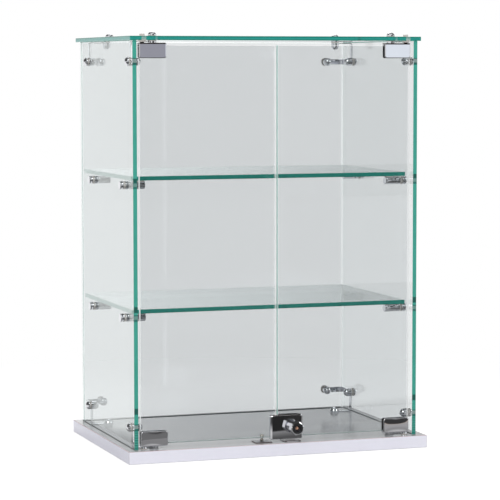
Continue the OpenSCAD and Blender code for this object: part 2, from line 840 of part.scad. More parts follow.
// The bolt's head has a level slot for the crank pin, which slides along it as it turns
module lock_bolt() {
    slot_x0 = lock_x + crank_lift - bolt_slot_h/2;
    slot_x1 = lock_x + crank_r + bolt_slot_h/2;
    y1 = bolt_y0 + bolt_t;
    z0 = bolt_head_z - bolt_head_h/2;
    color(chrome_tint) difference() {
        union() {
            corner_box([lock_x - bolt_w/2, bolt_y0, bolt_tip_z], [lock_x + bolt_w/2, y1, z0 + 1]);
            corner_box([lock_x - bolt_w/2, bolt_y0, z0], [slot_x1 + 2, y1, z0 + bolt_head_h]);
        }
        corner_box([slot_x0, bolt_y0 - 1, bolt_head_z - bolt_slot_h/2],
                   [slot_x1, y1 + 1, bolt_head_z + bolt_slot_h/2]);
    }
}

module lock_liner() {
    x1 = lock_x0 + lock_w - metal_bevel;
    z1 = lock_z0 + lock_h - hinge_corner;
    color(rubber_tint) difference() {
        corner_box([lock_grip_x, lock_back_y, lock_z0 + lock_wall], [x1, lock_back_y + slot_t, z1]);
        corner_box([lock_grip_x - 1, lock_back_y + liner_t, door_z0], [x1 + 1, lock_back_y + liner_t + glass_t, z1 + 1]);
    }
}

// Door fittings that belong to each door

module liners(side) {
    at_hinge(side, false) hinge_liner();
    at_hinge(side, true) hinge_liner();
    if (side > 0) lock_liner();
}

module grub_screws(side) {
    at_hinge(side, false) hinge_grubs();
    at_hinge(side, true) hinge_grubs();
    if (side > 0)
        color(chrome_tint) for (x = lock_grubs)
            translate([lock_grip_x + x, lock_back_y + slot_t, lock_z]) rotate([-90, 0, 0])
                grub_screw(lock_wall);
}

// Plates on the base

module plate(x) {
    difference() {
        corner_box([x - plate_len/2, plate_y0, floor_z], [x + plate_len/2, plate_y0 + plate_d, floor_z + plate_t]);
        for (dx = [-plate_screw_x, plate_screw_x]) translate([x + dx, plate_screw_y, floor_z]) {
            cylinder(d1 = plate_screw_d + 2*fit_gap, d2 = plate_screw_head_d + 2*fit_gap, h = plate_t);
            translate([0, 0, -1]) cylinder(d = plate_screw_d + 2*fit_gap, h = plate_t + 1);
            translate([0, 0, plate_t - eps]) cylinder(d = plate_screw_head_d + 2*fit_gap, h = 1);
        }
    }
}

module stop_plate() {
    color(chrome_tint) difference() {
        plate(stop_x);
        translate([stop_pin_x, stop_pin_y, floor_z - 1])
            cylinder(d = stop_stem_d + 2*fit_gap, h = plate_t + 2);
    }
}

module strike_plate() {
    color(chrome_tint) difference() {
        plate(lock_x);
        corner_box([lock_x - strike_slot_w/2, bolt_y - strike_slot_d/2, floor_z - 1],
                   [lock_x + strike_slot_w/2, bolt_y + strike_slot_d/2, floor_z + plate_t + 1]);
    }
}

module stop_pin() {
    color(chrome_tint) translate([stop_pin_x, stop_pin_y, floor_z]) {
        translate([0, 0, -7.5]) cylinder(d = stop_stem_d, h = 7.5 + stop_h);
        translate([0, 0, stop_h]) sphere(d = stop_ball_d);
        translate([0, 0, plate_t]) cylinder(d = stop_stem_d + 1.6, h = 1.2);
    }
}

base_core();
base_top_sheet();
base_bottom_sheet();
end_band(-1);  // base_band_front
end_band(1);  // base_band_back
side_band(-1);  // base_band_left
side_band(1);  // base_band_right
side_panel(-1);  // side_panel_left
side_panel(1);  // side_panel_right
back_panel();
top_panel();
shelf(lower_z);  // shelf_lower
shelf(upper_z);  // shelf_upper
door_glass_left();
door_glass_right();
top_strip(-1, front_screw_y);  // top_strip_front_left
top_strip(1, front_screw_y);  // top_strip_front_right
top_strip(-1, rear_screw_y);  // top_strip_rear_left
top_strip(1, rear_screw_y);  // top_strip_rear_right
base_strip(-1, front_screw_y);  // base_strip_front_left
base_strip(1, front_screw_y);  // base_strip_front_right
base_strip(-1, rear_screw_y);  // base_strip_rear_left
base_strip(1, rear_screw_y);  // base_strip_rear_right
back_strip(-1, high_screw_z);  // back_strip_high_left
back_strip(1, high_screw_z);  // back_strip_high_right
back_strip(-1, low_screw_z);  // back_strip_low_left
back_strip(1, low_screw_z);  // back_strip_low_right
side_screws();
back_screws();
top_screws();
side_nuts();
back_nuts();
top_nuts();
clear_washers();
wood_screws();
screw_caps();
stud_heads();
stud_barrels();
shelf_pads();
at_hinge(-1, true) hinge_clamp();  // hinge_top_left
at_hinge(-1, false) hinge_clamp();  // hinge_bottom_left
at_hinge(1, true) hinge_clamp();  // hinge_top_right
at_hinge(1, false) hinge_clamp();  // hinge_bottom_right
liners(-1);  // liners_left
liners(1);  // liners_right
pivot_pins(-1);  // pivot_pins_left
pivot_pins(1);  // pivot_pins_right
pivot_bushes();
grub_screws(-1);  // grub_screws_left
grub_screws(1);  // grub_screws_right
lock_case();
lock_barrel();
lock_plug();
lock_post();
lock_crank();
lock_bolt();
stop_plate();
stop_pin();
strike_plate();
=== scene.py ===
import math

import bmesh
import bpy
from mathutils import Matrix, Vector


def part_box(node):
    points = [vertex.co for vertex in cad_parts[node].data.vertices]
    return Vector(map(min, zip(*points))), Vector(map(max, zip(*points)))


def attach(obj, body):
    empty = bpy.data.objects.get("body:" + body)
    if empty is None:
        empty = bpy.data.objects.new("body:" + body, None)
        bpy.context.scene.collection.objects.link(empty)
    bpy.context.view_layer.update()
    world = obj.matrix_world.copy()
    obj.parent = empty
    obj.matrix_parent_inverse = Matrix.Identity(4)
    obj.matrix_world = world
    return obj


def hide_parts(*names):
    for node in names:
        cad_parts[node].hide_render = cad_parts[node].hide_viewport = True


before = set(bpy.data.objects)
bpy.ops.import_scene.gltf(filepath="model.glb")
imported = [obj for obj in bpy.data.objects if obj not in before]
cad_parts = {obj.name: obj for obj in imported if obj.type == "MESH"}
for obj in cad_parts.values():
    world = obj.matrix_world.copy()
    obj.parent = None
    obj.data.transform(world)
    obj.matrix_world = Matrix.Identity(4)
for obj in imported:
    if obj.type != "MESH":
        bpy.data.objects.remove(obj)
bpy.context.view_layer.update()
print("frame loaded")


# Shaders: a Wire is one output, and sums on it add Math nodes; a Finish is one tree of nodes

class Wire:
    def __init__(self, finish, socket):
        self.finish, self.socket = finish, socket

    def __add__(self, other):
        return self.finish.maths("ADD", self, other)

    def __sub__(self, other):
        return self.finish.maths("SUBTRACT", self, other)

    def __rsub__(self, other):
        return self.finish.maths("SUBTRACT", other, self)

    def __mul__(self, other):
        return self.finish.maths("MULTIPLY", self, other)

    def __pow__(self, other):
        return self.finish.maths("POWER", self, other)

    def __gt__(self, other):
        return self.finish.maths("GREATER_THAN", self, other)

    def __lt__(self, other):
        return self.finish.maths("LESS_THAN", self, other)

    def __abs__(self):
        return self.finish.maths("ABSOLUTE", self)

    def atMost(self, other):
        return self.finish.maths("MINIMUM", self, other)

    def atLeast(self, other):
        return self.finish.maths("MAXIMUM", self, other)

    __radd__, __rmul__ = __add__, __mul__


class Finish:
    def __init__(self, name, owner=None):
        self.owner = owner or bpy.data.materials.new(name)
        self.owner.use_nodes = True
        self.tree = self.owner.node_tree
        self.tree.nodes.clear()

    def add(self, kind, settings=None, inputs=None, out=0):
        node = self.tree.nodes.new("ShaderNode" + kind)
        for key, value in (settings or {}).items():
            if key == "stops":  # a ramp's stops: position and grey or colour
                while len(node.color_ramp.elements) < len(value):
                    node.color_ramp.elements.new(1.0)
                for element, (position, tone) in zip(node.color_ramp.elements, value):
                    element.position = position
                    element.color = fullColour(tone)
            else:
                setattr(node, key, value)
        for key, value in (inputs or {}).items():
            if isinstance(value, Wire):
                self.tree.links.new(value.socket, node.inputs[key])
            else:
                node.inputs[key].default_value = fullColour(value) if node.inputs[key].type == "RGBA" else value
        return Wire(self, node.outputs[out]) if node.outputs else None

    def maths(self, operation, a, b=0.0):
        return self.add("Math", {"operation": operation}, {0: a, 1: b})

    def mixed(self, share, first, second):
        return self.add("Mix", {"data_type": "RGBA"}, {0: share, 6: first, 7: second}, out=2)

    def layered(self, share, first, second):
        return self.add("MixShader", inputs={0: share, 1: first, 2: second})

    def ramp(self, factor, stops):
        return self.add("ValToRGB", {"stops": stops}, {0: factor})

    def axis(self, vector, index):
        return self.add("SeparateXYZ", inputs={0: vector}, out=index)

    def place(self):
        return self.add("TexCoord", out="Object")

    def noise(self, scale, detail=2.0, vector=None):
        return self.add("TexNoise", inputs={"Vector": vector or self.place(), "Scale": scale, "Detail": detail})

    def bump(self, height, depth, strength):
        return self.add("Bump", inputs={"Height": height, "Distance": depth, "Strength": strength})

    def ray(self, name):
        return self.add("LightPath", out=name)

    def glow(self, tone, strength=1.0):
        return self.add("Emission", inputs={"Color": tone, "Strength": strength})

    def surface(self, tone, roughness, normal, metal=0.0):
        return self.done(self.add("BsdfPrincipled", inputs={"Base Color": tone, "Metallic": metal,
                                                            "Roughness": roughness, "Normal": normal}))

    def done(self, shader, kind="Material"):
        self.add("Output" + kind, inputs={0: shader})
        return self.owner


def fullColour(tone):
    if isinstance(tone, (int, float)):
        return (tone, tone, tone, 1.0)
    return (*tone[:3], 1.0)


# Sizes in millimetres, read from the frame's boxes

def boxMm(node):
    low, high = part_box(node)
    return [v * 1000 for v in low], [v * 1000 for v in high]


def centreOf(node):
    low, high = boxMm(node)
    return [(a + b) / 2 for a, b in zip(low, high)]


leftLow, leftHigh = boxMm("side_panel_left")
outerX, innerX = -leftLow[0], -leftHigh[0]
frontY, backY, floorZ, roofZ = leftLow[1], leftHigh[1], leftLow[2], leftHigh[2]
glassThick = outerX - innerX
topZ = boxMm("top_panel")[1][2]
backFaceY = boxMm("back_panel")[1][1]
baseHalf, baseFront = boxMm("base_band_right")[1][0], boxMm("base_band_front")[0][1]
doorY = centreOf("door_glass_left")[1]
pivotX = -centreOf("pivot_pins_left")[0]

screwLook = {"rise": 30.0, "sideIn": 28.5, "frontIn": 20.0, "rearIn": 43.5, "washer": 0.8, "strip": 1.2}
studLook = {"frontIn": 50.5, "rearIn": 70.5, "radius": 6.0, "barrel": 24.0, "head": 5.5, "washer": 0.8, "groove": 0.9,
            "pad": 1.5}
frontScrewY, rearScrewY = frontY + screwLook["frontIn"], backY - screwLook["rearIn"]
screwX = innerX - screwLook["sideIn"]
lowZ, highZ = floorZ + screwLook["rise"], roofZ - screwLook["rise"]
studYs = (frontY + studLook["frontIn"], backY - studLook["rearIn"])
shelfLows = (boxMm("shelf_lower")[0][2], boxMm("shelf_upper")[0][2])
studZs = [z - studLook["pad"] - studLook["radius"] for z in shelfLows]


# Painted reflections in the edge of a pane, standing in for fittings seen through the glass, and painted glints: half
# its width in metres, its tone and its strength

paintedEdgeReflections = {
    "footLine": (0.0010, (0.015, 0.13, 0.11), 0.75),
    "rearStrip": (0.0044, (0.010, 0.07, 0.06), 0.85),
    "frontStrip": (0.0052, (0.02, 0.12, 0.10), 0.85),
    "stripGlint": (0.0028, (0.24, 0.32, 0.31), 0.85),
    "rearStud": (0.0044, (0.008, 0.08, 0.065), 0.9),
    "frontStud": (0.0050, (0.02, 0.13, 0.11), 0.85),
    "studGlint": (0.0026, (0.15, 0.30, 0.27), 0.8),
    "bush": (0.0036, (0.42, 0.46, 0.44), 0.9),
    "topStrip": (0.0055, (0.015, 0.15, 0.13), 0.7),
    "topGlint": (0.0018, (0.20, 0.36, 0.33), 0.8),
    "rearScrew": (0.0024, (0.008, 0.10, 0.08), 0.8),
    "upperBand": (0.0012, (0.003, 0.19, 0.15), 0.7),
    "lowerBand": (0.0012, (0.020, 0.30, 0.275), 0.6),
}
paintedReflectionPlaces = {"footLines": 7, "footFrom": 3.0, "footStep": 3.6, "stripGlint": 1.0, "studGlint": 0.8,
              "rearScrewX": 124.0, "upperBand": 0.8, "lowerBand": 3.2,  # millimetres
              "liftTo": 560.0, "lift": 0.0002}  # towards which height, and the share for each millimetre of depth


def paintedPaneReflections(node):
    marks = []

    def mark(axis, middle, name):
        marks.append((axis, middle / 1000, *paintedEdgeReflections[name]))

    def lifted(z, deep):  # deeper fittings show further up along the edge
        return z + deep * (paintedReflectionPlaces["liftTo"] - z) * paintedReflectionPlaces["lift"]

    if node.startswith("side_panel"):
        for i in range(paintedReflectionPlaces["footLines"]):
            mark(2, floorZ + paintedReflectionPlaces["footFrom"] + i * paintedReflectionPlaces["footStep"], "footLine")
        for z in (lowZ, highZ):
            mark(2, lifted(z, backY - frontY - screwLook["rearIn"]), "rearStrip")
            near = lifted(z, screwLook["frontIn"])
            mark(2, near, "frontStrip")
            mark(2, near + paintedReflectionPlaces["stripGlint"], "stripGlint")
        for z in studZs:
            mark(2, lifted(z, backY - frontY - studLook["rearIn"]), "rearStud")
            near = lifted(z, studLook["frontIn"])
            mark(2, near, "frontStud")
            mark(2, near + paintedReflectionPlaces["studGlint"], "studGlint")
    if node == "top_panel":
        for side in (-1, 1):
            mark(0, side * pivotX, "bush")
            mark(0, side * screwX, "topStrip")
            mark(0, side * screwX, "topGlint")
        mark(0, paintedReflectionPlaces["rearScrewX"], "rearScrew")
        mark(2, topZ - paintedReflectionPlaces["upperBand"], "upperBand")
        mark(2, topZ - paintedReflectionPlaces["lowerBand"], "lowerBand")
    return marks


# Finishes

clearPane = {
    "through": (0.917, 0.925, 0.929), "gloss": (0.97, 1.0, 0.99), "bends": False,
    "edge": (0.055, 0.36, 0.285), "sideSheen": (0.20, 0.46, 0.40),  # green, and a painted sheen on ends that face left and right
    "greenTo": 0.9,  # how flat a chamfer may lie and still show green
    # pale cuts carry a painted glow; foot: painted shade along the bottom edge where a pane stands on the sheet
    "pale": 0.92, "paleShare": 0.45, "paleGlow": 0.25, "foot": (0.05, 0.07, 0.075),
}
sidePane = dict(clearPane, bends=True, gloss=(0.95, 0.98, 0.97))
backPane = dict(clearPane, greenTo=0.5, paleShare=0.7, paleGlow=0.55)
# doors: a painted highlight on the ends by the hinges
doorPane = dict(clearPane, edge=(0.10, 0.42, 0.34), sideSheen=(0.30, 0.62, 0.55), greenTo=0.5, foot=(0.40, 0.46, 0.45),
                hingeEdgeHighlight=(0.86, 0.90, 0.90), freeHalf=0.1, gripped=(0.0440, 0.5740), gripTone=0.02, gleam=1.9)
rightDoorPane = dict(doorPane, gleam=0.7)
levelPane = dict(clearPane, through=(0.915, 0.925, 0.925), edge=(0.014, 0.255, 0.20), sideSheen=(0.42, 0.56, 0.52),
                 pale=0.5, paleGlow=0.0, foot=None, gloss=(0.71, 0.735, 0.73))
lidPane = dict(levelPane, through=(0.930, 0.945, 0.945), sideSheen=(0.14, 0.375, 0.34), pale=0.8)
cutLook = {"ior": 1.5, "mirror": 0.04, "flat": 0.9, "rim": 0.0015, "footDeep": 0.001, "markSharp": 2500.0,
           "streaks": 60.0, "shade": 0.72, "shadeShare": 0.6, "rough": 0.12, "roughShare": 0.10,
           "bump": 0.0002, "bumpShare": 0.15, "paleThrough": (0.96, 0.97, 0.97), "paleRough": 0.5}
squareOn = 0.7  # more of a normal than this along an axis, and its face looks along that axis


def paneFinish(name, node, thick, look, marks=()):
    # the two faces are clear, the outer edges green, and cuts seen from inside the glass pale, with a painted glow
    f = Finish(name)
    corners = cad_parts[node].bound_box
    low, high = ([pick(corner[k] for corner in corners) for k in range(3)] for pick in (min, max))
    place, normal = f.place(), f.add("TexCoord", out="Normal")
    facing = abs(f.axis(normal, thick))
    outer = 0.0
    for k in range(3):
        if k != thick:
            middle, half = (low[k] + high[k]) / 2, (high[k] - low[k]) / 2
            outer = (abs(f.axis(place, k) - middle) > half - cutLook["rim"]).atLeast(outer)
    seenInside = f.add("NewGeometry", out="Backfacing")
    clear = f.add("BsdfTransparent", inputs={"Color": look["through"]})
    if look["bends"]:  # light bends on its way through, but shadows and soft light pass straight
        soft = f.ray("Is Shadow Ray").atLeast(f.ray("Is Diffuse Ray"))
        bent = f.add("BsdfRefraction", inputs={"Color": look["through"], "Roughness": 0.0, "IOR": cutLook["ior"]})
        shine = f.add("Fresnel", inputs={"IOR": cutLook["ior"]}) * (1.0 - soft)
        clear = f.layered(soft, bent, clear)
    else:
        mirror = cutLook["mirror"]  # straight on, and all of it at a slant
        shine = f.add("LayerWeight", inputs={"Blend": 0.5}, out="Facing") ** 5.0 * (1 - mirror) + mirror
    pane = f.layered(shine, clear, f.add("BsdfGlossy", inputs={"Color": look["gloss"], "Roughness": 0.0}))
    streak = f.noise(cutLook["streaks"], 3.0, place)
    tone = f.mixed(streak * cutLook["shadeShare"], look["edge"], [c * cutLook["shade"] for c in look["edge"]])
    if thick != 0:
        # painted sheen on the ends that face left and right
        tone = f.mixed(abs(f.axis(normal, 0)) > squareOn, tone, look["sideSheen"])
    if "hingeEdgeHighlight" in look:  # a painted highlight on the ends near the hinges, dark where the clamps grip them
        lowGrip, highGrip = look["gripped"]
        held = (f.axis(place, 2) < lowGrip) + (f.axis(place, 2) > highGrip)
        hingeTone = f.mixed(held, look["hingeEdgeHighlight"], look["gripTone"])
        tone = f.mixed(abs(f.axis(place, 0)) > look["freeHalf"], tone, hingeTone)
    # painted reflections of the fittings and painted glints along the edges
    for k, middle, half, markTone, strength in marks:
        share = ((half - abs(f.axis(place, k) - middle)) * cutLook["markSharp"]).atLeast(0.0).atMost(1.0)
        tone = f.mixed(share * strength, tone, markTone)
    # frosted pale with a painted glow
    frosted = f.add("BsdfPrincipled", inputs={"Base Color": look["pale"], "Roughness": cutLook["paleRough"],
                                              "Emission Color": 1.0, "Emission Strength": look["paleGlow"]})
    pale = f.layered(look["paleShare"], f.add("BsdfTransparent", inputs={"Color": cutLook["paleThrough"]}), frosted)
    shown = (facing < look["greenTo"]) * outer * (1.0 - seenInside)
    if look["foot"]:  # the bottom edge takes the foot tone: painted shade where the fixed panes stand on the sheet, and a paler tone on the doors
        foot = (abs(f.axis(normal, 2)) > squareOn) * (f.axis(place, 2) < low[2] + cutLook["footDeep"])
        shown = shown.atLeast(foot)
        tone = f.mixed(foot, tone, look["foot"])
    rim = f.add("BsdfPrincipled", inputs={
        "Base Color": tone, "Roughness": streak * cutLook["roughShare"] + cutLook["rough"], "IOR": cutLook["ior"],
        "Normal": f.bump(streak, cutLook["bump"], cutLook["bumpShare"])})
    cut = f.layered(shown, pale, rim)
    if "gleam" in look:  # a painted glow: mirrored rays see the polished free edges glow, standing in for the light that the pane carries to them
        lit = f.ray("Is Glossy Ray") * (abs(f.axis(normal, 0)) > squareOn)
        cut = f.layered(lit, cut, f.glow(1.0, look["gleam"]))
    return f.done(f.layered(facing < cutLook["flat"], pane, cut))


grainScales = {"cloud": 60.0, "fine": 900.0, "sheet": 5.0, "peel": 1400.0, "mottle": 220.0, "chips": 160.0}
metalLook = {"shade": 0.93, "bump": 0.00004, "bumpShare": 0.12}
peelDepth = 0.00002


def metalFinish(name, colour, roughness, grain, depth=metalLook["bump"], metal=1.0):
    f = Finish(name)
    cloud = f.noise(grainScales["cloud"], 3.0)
    tone = f.mixed(cloud, colour, [c * metalLook["shade"] for c in colour])
    return f.surface(tone, cloud * grain + roughness,
                     f.bump(f.noise(grainScales["fine"]), depth, metalLook["bumpShare"]), metal)


def clampFinish(name, look):
    # chrome with a slight swell to the lower clamps, a lean to the upper ones, and a painted shade line along the
    # rolled tops of the upper clamps and the lock case
    f = Finish(name)
    cloud = f.noise(grainScales["cloud"], 3.0)
    place = f.place()
    height = f.axis(place, 2)
    alongX = (abs(f.axis(place, 0)) - look["middleX"]) * (1 / look["halfX"])
    alongZ = (height - look["middleZ"]) * (1 / look["halfZ"])
    swell = (1.0 - alongX * alongX).atLeast(0.0) * (1.0 - alongZ * alongZ).atLeast(0.0)
    swell = swell - (height - look["leanFrom"]).atLeast(0.0) * (look["lean"] / look["swell"])
    # painted shade: a dark line along the rolled top edges
    lockFrom, lockTo = look["lockShadeLine"]
    lockShadeLine = (height > lockFrom) * (height < lockTo) * (f.axis(place, 1) < look["lockFront"])
    lip = lockShadeLine + (height > look["upperShadeLine"])
    tone = f.mixed(lip, f.mixed(cloud, look["light"], look["dark"]), look["lip"])
    return f.surface(tone, cloud * look["cloud"] + look["roughness"], f.bump(swell, look["swell"], 1.0), 1.0)


def sheetFinish(name, look):
    f = Finish(name)
    cloud = f.noise(grainScales["sheet"], 3.0)
    return f.surface(f.mixed(cloud, look["light"], look["dark"]), cloud * look["cloud"] + look["roughness"],
                     f.bump(f.noise(grainScales["peel"]), peelDepth, look["peel"]))


def bandFinish(name, look):
    # pale, with a glue line along the top, a painted contact shade along the lower edge, and darker front corner
    # edges
    f = Finish(name)
    cloud = f.noise(grainScales["sheet"], 3.0)
    place = f.add("NewGeometry", out="Position")
    height, across = f.axis(place, 2), abs(f.axis(place, 0))
    line = look["line"]
    tone = f.mixed(cloud, look["light"], look["dark"])
    tone = f.mixed((height > look["top"] - line) * look["glueShare"], tone, look["glue"])
    # painted contact shade along the lower edge
    tone = f.mixed((height < look["footTo"]) * look["footShare"], tone, look["foot"])
    corner = (across > look["half"] - line) * (f.axis(place, 1) < look["front"] + line)
    tone = f.mixed(corner * look["footShare"], tone, look["foot"])
    return f.surface(tone, cloud * look["cloud"] + look["roughness"],
                     f.bump(f.noise(grainScales["peel"]), peelDepth, look["peel"]))


def plateFinish(name, look):
    # light on top and dark on the cut edges, with a painted reflection of light along the middle of the edges where
    # set
    f = Finish(name)
    normal = f.add("TexCoord", out="Normal")
    offset = abs(f.axis(f.place(), 0) - look["middle"])
    level = (abs(f.axis(normal, 2)) > squareOn).atLeast(offset < look["paintedLightHalf"])
    level = level.atLeast((abs(f.axis(normal, 0)) > squareOn) * look["sides"])
    cloud = f.noise(grainScales["cloud"], 3.0)
    return f.surface(f.mixed(level, look["edge"], look["flat"]), cloud * look["cloud"] + look["roughness"],
                     f.bump(f.noise(grainScales["fine"]), metalLook["bump"], look["bumpShare"]), look["metal"])


def plasticFinish(name, colour, roughness, look):
    f = Finish(name)
    cloud = f.noise(grainScales["mottle"], 3.0)
    tone = f.mixed(cloud, colour, [c * look["shade"] for c in colour])
    return f.surface(tone, cloud * look["cloud"] + roughness, f.bump(cloud, look["bump"], look["bumpShare"]))


def boardFinish(name, look):
    f = Finish(name)
    chips = f.noise(grainScales["chips"], 4.0)
    return f.surface(f.ramp(chips, look["chips"]), look["roughness"], f.bump(chips, look["bump"], look["bumpShare"]))


greySheet = {"light": (0.375, 0.378, 0.388), "dark": (0.345, 0.348, 0.358), "roughness": 0.12, "cloud": 0.05,
             "peel": 0.04}
paleBand = {"light": (0.80, 0.795, 0.88), "dark": (0.77, 0.765, 0.85), "roughness": 0.30, "cloud": 0.10, "peel": 0.10,
            "top": floorZ / 1000, "half": baseHalf / 1000, "front": baseFront / 1000, "line": 0.0004,
            # foot: the tone of the painted contact shade along the lower edge, also used on the front corners
            "glue": (0.42, 0.24, 0.24), "glueShare": 0.75, "foot": (0.30, 0.29, 0.31), "footShare": 0.6,
            "footTo": 0.0005}
clampX, clampZ = centreOf("hinge_bottom_right")[::2]
clampLook = {"light": (0.80, 0.80, 0.83), "dark": (0.75, 0.75, 0.78), "roughness": 0.02, "cloud": 0.03,
             "middleX": clampX / 1000, "halfX": 0.020, "middleZ": clampZ / 1000, "halfZ": 0.011, "swell": 0.00042,
             # lip: the tone of the painted shade line along rolled tops
             "lean": 0.040, "leanFrom": 0.3, "lip": (0.055, 0.040, 0.040), "upperShadeLine": 0.5952,
             "lockShadeLine": (0.0571, 0.0590), "lockFront": -0.1405}
plateLook = {"flat": (0.40, 0.40, 0.42), "edge": (0.24, 0.17, 0.17), "roughness": 0.34, "cloud": 0.1, "metal": 1.0,
             "bumpShare": 0.1, "middle": 0.0, "paintedLightHalf": 0.0, "sides": 0.0}
# the strike plate's edges are light near the middle: a painted reflection of light
strikeLook = dict(plateLook, metal=0.3, flat=(0.52, 0.49, 0.51), edge=(0.12, 0.09, 0.09), sides=1.0,
                  middle=centreOf("strike_plate")[0] / 1000, paintedLightHalf=0.0088)
plasticLook = {"shade": 0.92, "cloud": 0.08, "bump": 0.00005, "bumpShare": 0.2}
boardLook = {"chips": [(0.3, (0.28, 0.18, 0.10)), (0.5, (0.55, 0.40, 0.25)), (0.7, (0.72, 0.58, 0.40))],
             "roughness": 0.85, "bump": 0.0004, "bumpShare": 0.6}

chrome = metalFinish("polishedChrome", (0.80, 0.81, 0.84), 0.03, 0.05)
clampChrome = clampFinish("clampChrome", clampLook)
satinSteel = metalFinish("satinSteel", (0.62, 0.62, 0.63), 0.22, 0.12, 0.0001)
plateSteel = plateFinish("plateSteel", plateLook)
strikeSteel = plateFinish("strikeSteel", strikeLook)
nickel = metalFinish("nickel", (0.80, 0.75, 0.68), 0.28, 0.10)
blackPlug = metalFinish("blackPlug", (0.22, 0.22, 0.25), 0.20, 0.08)
copperPost = metalFinish("copperPost", (0.80, 0.46, 0.32), 0.30, 0.10, metal=0.4)
greyTop = sheetFinish("greyTop", greySheet)
paleEdge = bandFinish("paleEdge", paleBand)
milkyNylon = plasticFinish("milkyNylon", (0.56, 0.53, 0.50), 0.30, plasticLook)
blackRubber = plasticFinish("blackRubber", (0.020, 0.020, 0.022), 0.60, plasticLook)
chipboard = boardFinish("chipboard", boardLook)

nodeFinishes = {
    "base_core": chipboard, "base_top_sheet": greyTop, "base_bottom_sheet": greyTop,
    "base_band_front": paleEdge, "base_band_back": paleEdge, "base_band_left": paleEdge, "base_band_right": paleEdge,
    "clear_washers": milkyNylon, "shelf_pads": milkyNylon, "pivot_bushes": milkyNylon,
    "liners_left": blackRubber, "liners_right": blackRubber, "lock_plug": blackPlug, "lock_post": copperPost,
    "pivot_pins_left": satinSteel, "pivot_pins_right": satinSteel,
    "grub_screws_left": satinSteel, "grub_screws_right": satinSteel,
    "lock_crank": satinSteel, "lock_bolt": satinSteel, "wood_screws": satinSteel,
    "stop_plate": plateSteel, "stop_pin": nickel, "strike_plate": strikeSteel,
}
for node, thick, look in (("side_panel_left", 0, sidePane), ("side_panel_right", 0, sidePane),
                          ("back_panel", 1, backPane), ("top_panel", 2, lidPane),
                          ("shelf_lower", 2, levelPane), ("shelf_upper", 2, levelPane),
                          ("door_glass_left", 1, doorPane), ("door_glass_right", 1, rightDoorPane)):
    nodeFinishes[node] = paneFinish(node.title().replace("_", ""), node, thick, look, paintedPaneReflections(node))
for nodeName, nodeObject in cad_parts.items():
    nodeObject.data.materials.clear()
    nodeObject.data.materials.append(nodeFinishes.get(nodeName, chrome))  # what isn't listed is chrome
print("finishes on", len(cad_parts), "nodes")


# Mesh tools: every mesh is made in millimetres and scaled to metres once

def finishMesh(name, mesh, material, body, stands, sharpAt=32.0, rollWidth=0.0):
    bmesh.ops.recalc_face_normals(mesh, faces=mesh.faces)
    for face in mesh.faces:
        face.smooth = True
    for edge in mesh.edges:
        if not rollWidth and len(edge.link_faces) == 2 and edge.calc_face_angle(0.0) > math.radians(sharpAt):
            edge.smooth = False
    bmesh.ops.scale(mesh, vec=(0.001, 0.001, 0.001), verts=mesh.verts)
    data = bpy.data.meshes.new(name)
    mesh.to_mesh(data)
    mesh.free()
    data.materials.append(material)
    piece = bpy.data.objects.new(name, data)
    bpy.context.scene.collection.objects.link(piece)
    if rollWidth:
        roll = piece.modifiers.new("roll", "BEVEL")
        roll.limit_method, roll.width, roll.segments, roll.use_clamp_overlap = "WEIGHT", rollWidth / 1000, 5, False
    flats = piece.modifiers.new("flats", "WEIGHTED_NORMAL")  # flat faces stay flat beside rolled edges
    flats.keep_sharp = True
    flats.weight = 90
    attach(piece, body)
    if stands:
        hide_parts(*stands)


def aimed(point, direction):
    return Matrix.Translation(point) @ Vector(direction).to_track_quat("Z", "Y").to_matrix().to_4x4()


def addTurned(mesh, profile, matrix, steps=48):
    rings = []
    for radius, height in profile:
        if radius < 1e-6:
            rings.append([mesh.verts.new(matrix @ Vector((0, 0, height)))])
        else:
            rings.append([mesh.verts.new(matrix @ Vector((radius * math.cos(a), radius * math.sin(a), height)))
                          for a in (2 * math.pi * i / steps for i in range(steps))])
    for lower, upper in zip(rings, rings[1:]):
        for i in range(steps):
            j = (i + 1) % steps
            corners = [lower[i % len(lower)], lower[j % len(lower)], upper[j % len(upper)], upper[i % len(upper)]]
            corners = [v for k, v in enumerate(corners) if v not in corners[:k]]
            if len(corners) > 2:
                mesh.faces.new(corners)


def dome(radius, base, height, steps=8):
    ball = (radius * radius + height * height) / (2 * height)
    most = math.asin(radius / ball)
    return [(ball * math.sin(most * (1 - i / steps)), base + height - ball + ball * math.cos(most * (1 - i / steps)))
            for i in range(steps)] + [(0, base + height)]


def rounded(points, size, steps=3):
    # rounds the inner corners of an open profile
    out = [points[0]]
    for before, here, after in zip(points, points[1:], points[2:]):
        here = Vector(here)
        toBefore, toAfter = Vector(before) - here, Vector(after) - here
        cut = min(size, toBefore.length / 2, toAfter.length / 2)
        start, end = here + toBefore.normalized() * cut, here + toAfter.normalized() * cut
        for i in range(steps + 1):
            t = i / steps
            out.append(tuple(start * (1 - t) ** 2 + here * (2 * t * (1 - t)) + end * t ** 2))
    out.append(points[-1])
    return out


def cornerOutline(width, height, radii, steps=6):
    # a rectangle from (0, 0), with a radius for each corner: lower left, lower right, upper right, upper left
    outline = []
    corners = [((0, 0), 180), ((width, 0), 270), ((width, height), 0), ((0, height), 90)]
    for ((x, z), start), radius in zip(corners, radii):
        if radius <= 0:
            outline.append((x, z))
            continue
        cx = radius if x == 0 else width - radius
        cz = radius if z == 0 else height - radius
        for i in range(steps + 1):
            angle = math.radians(start + 90 * i / steps)
            outline.append((cx + radius * math.cos(angle), cz + radius * math.sin(angle)))
    return outline


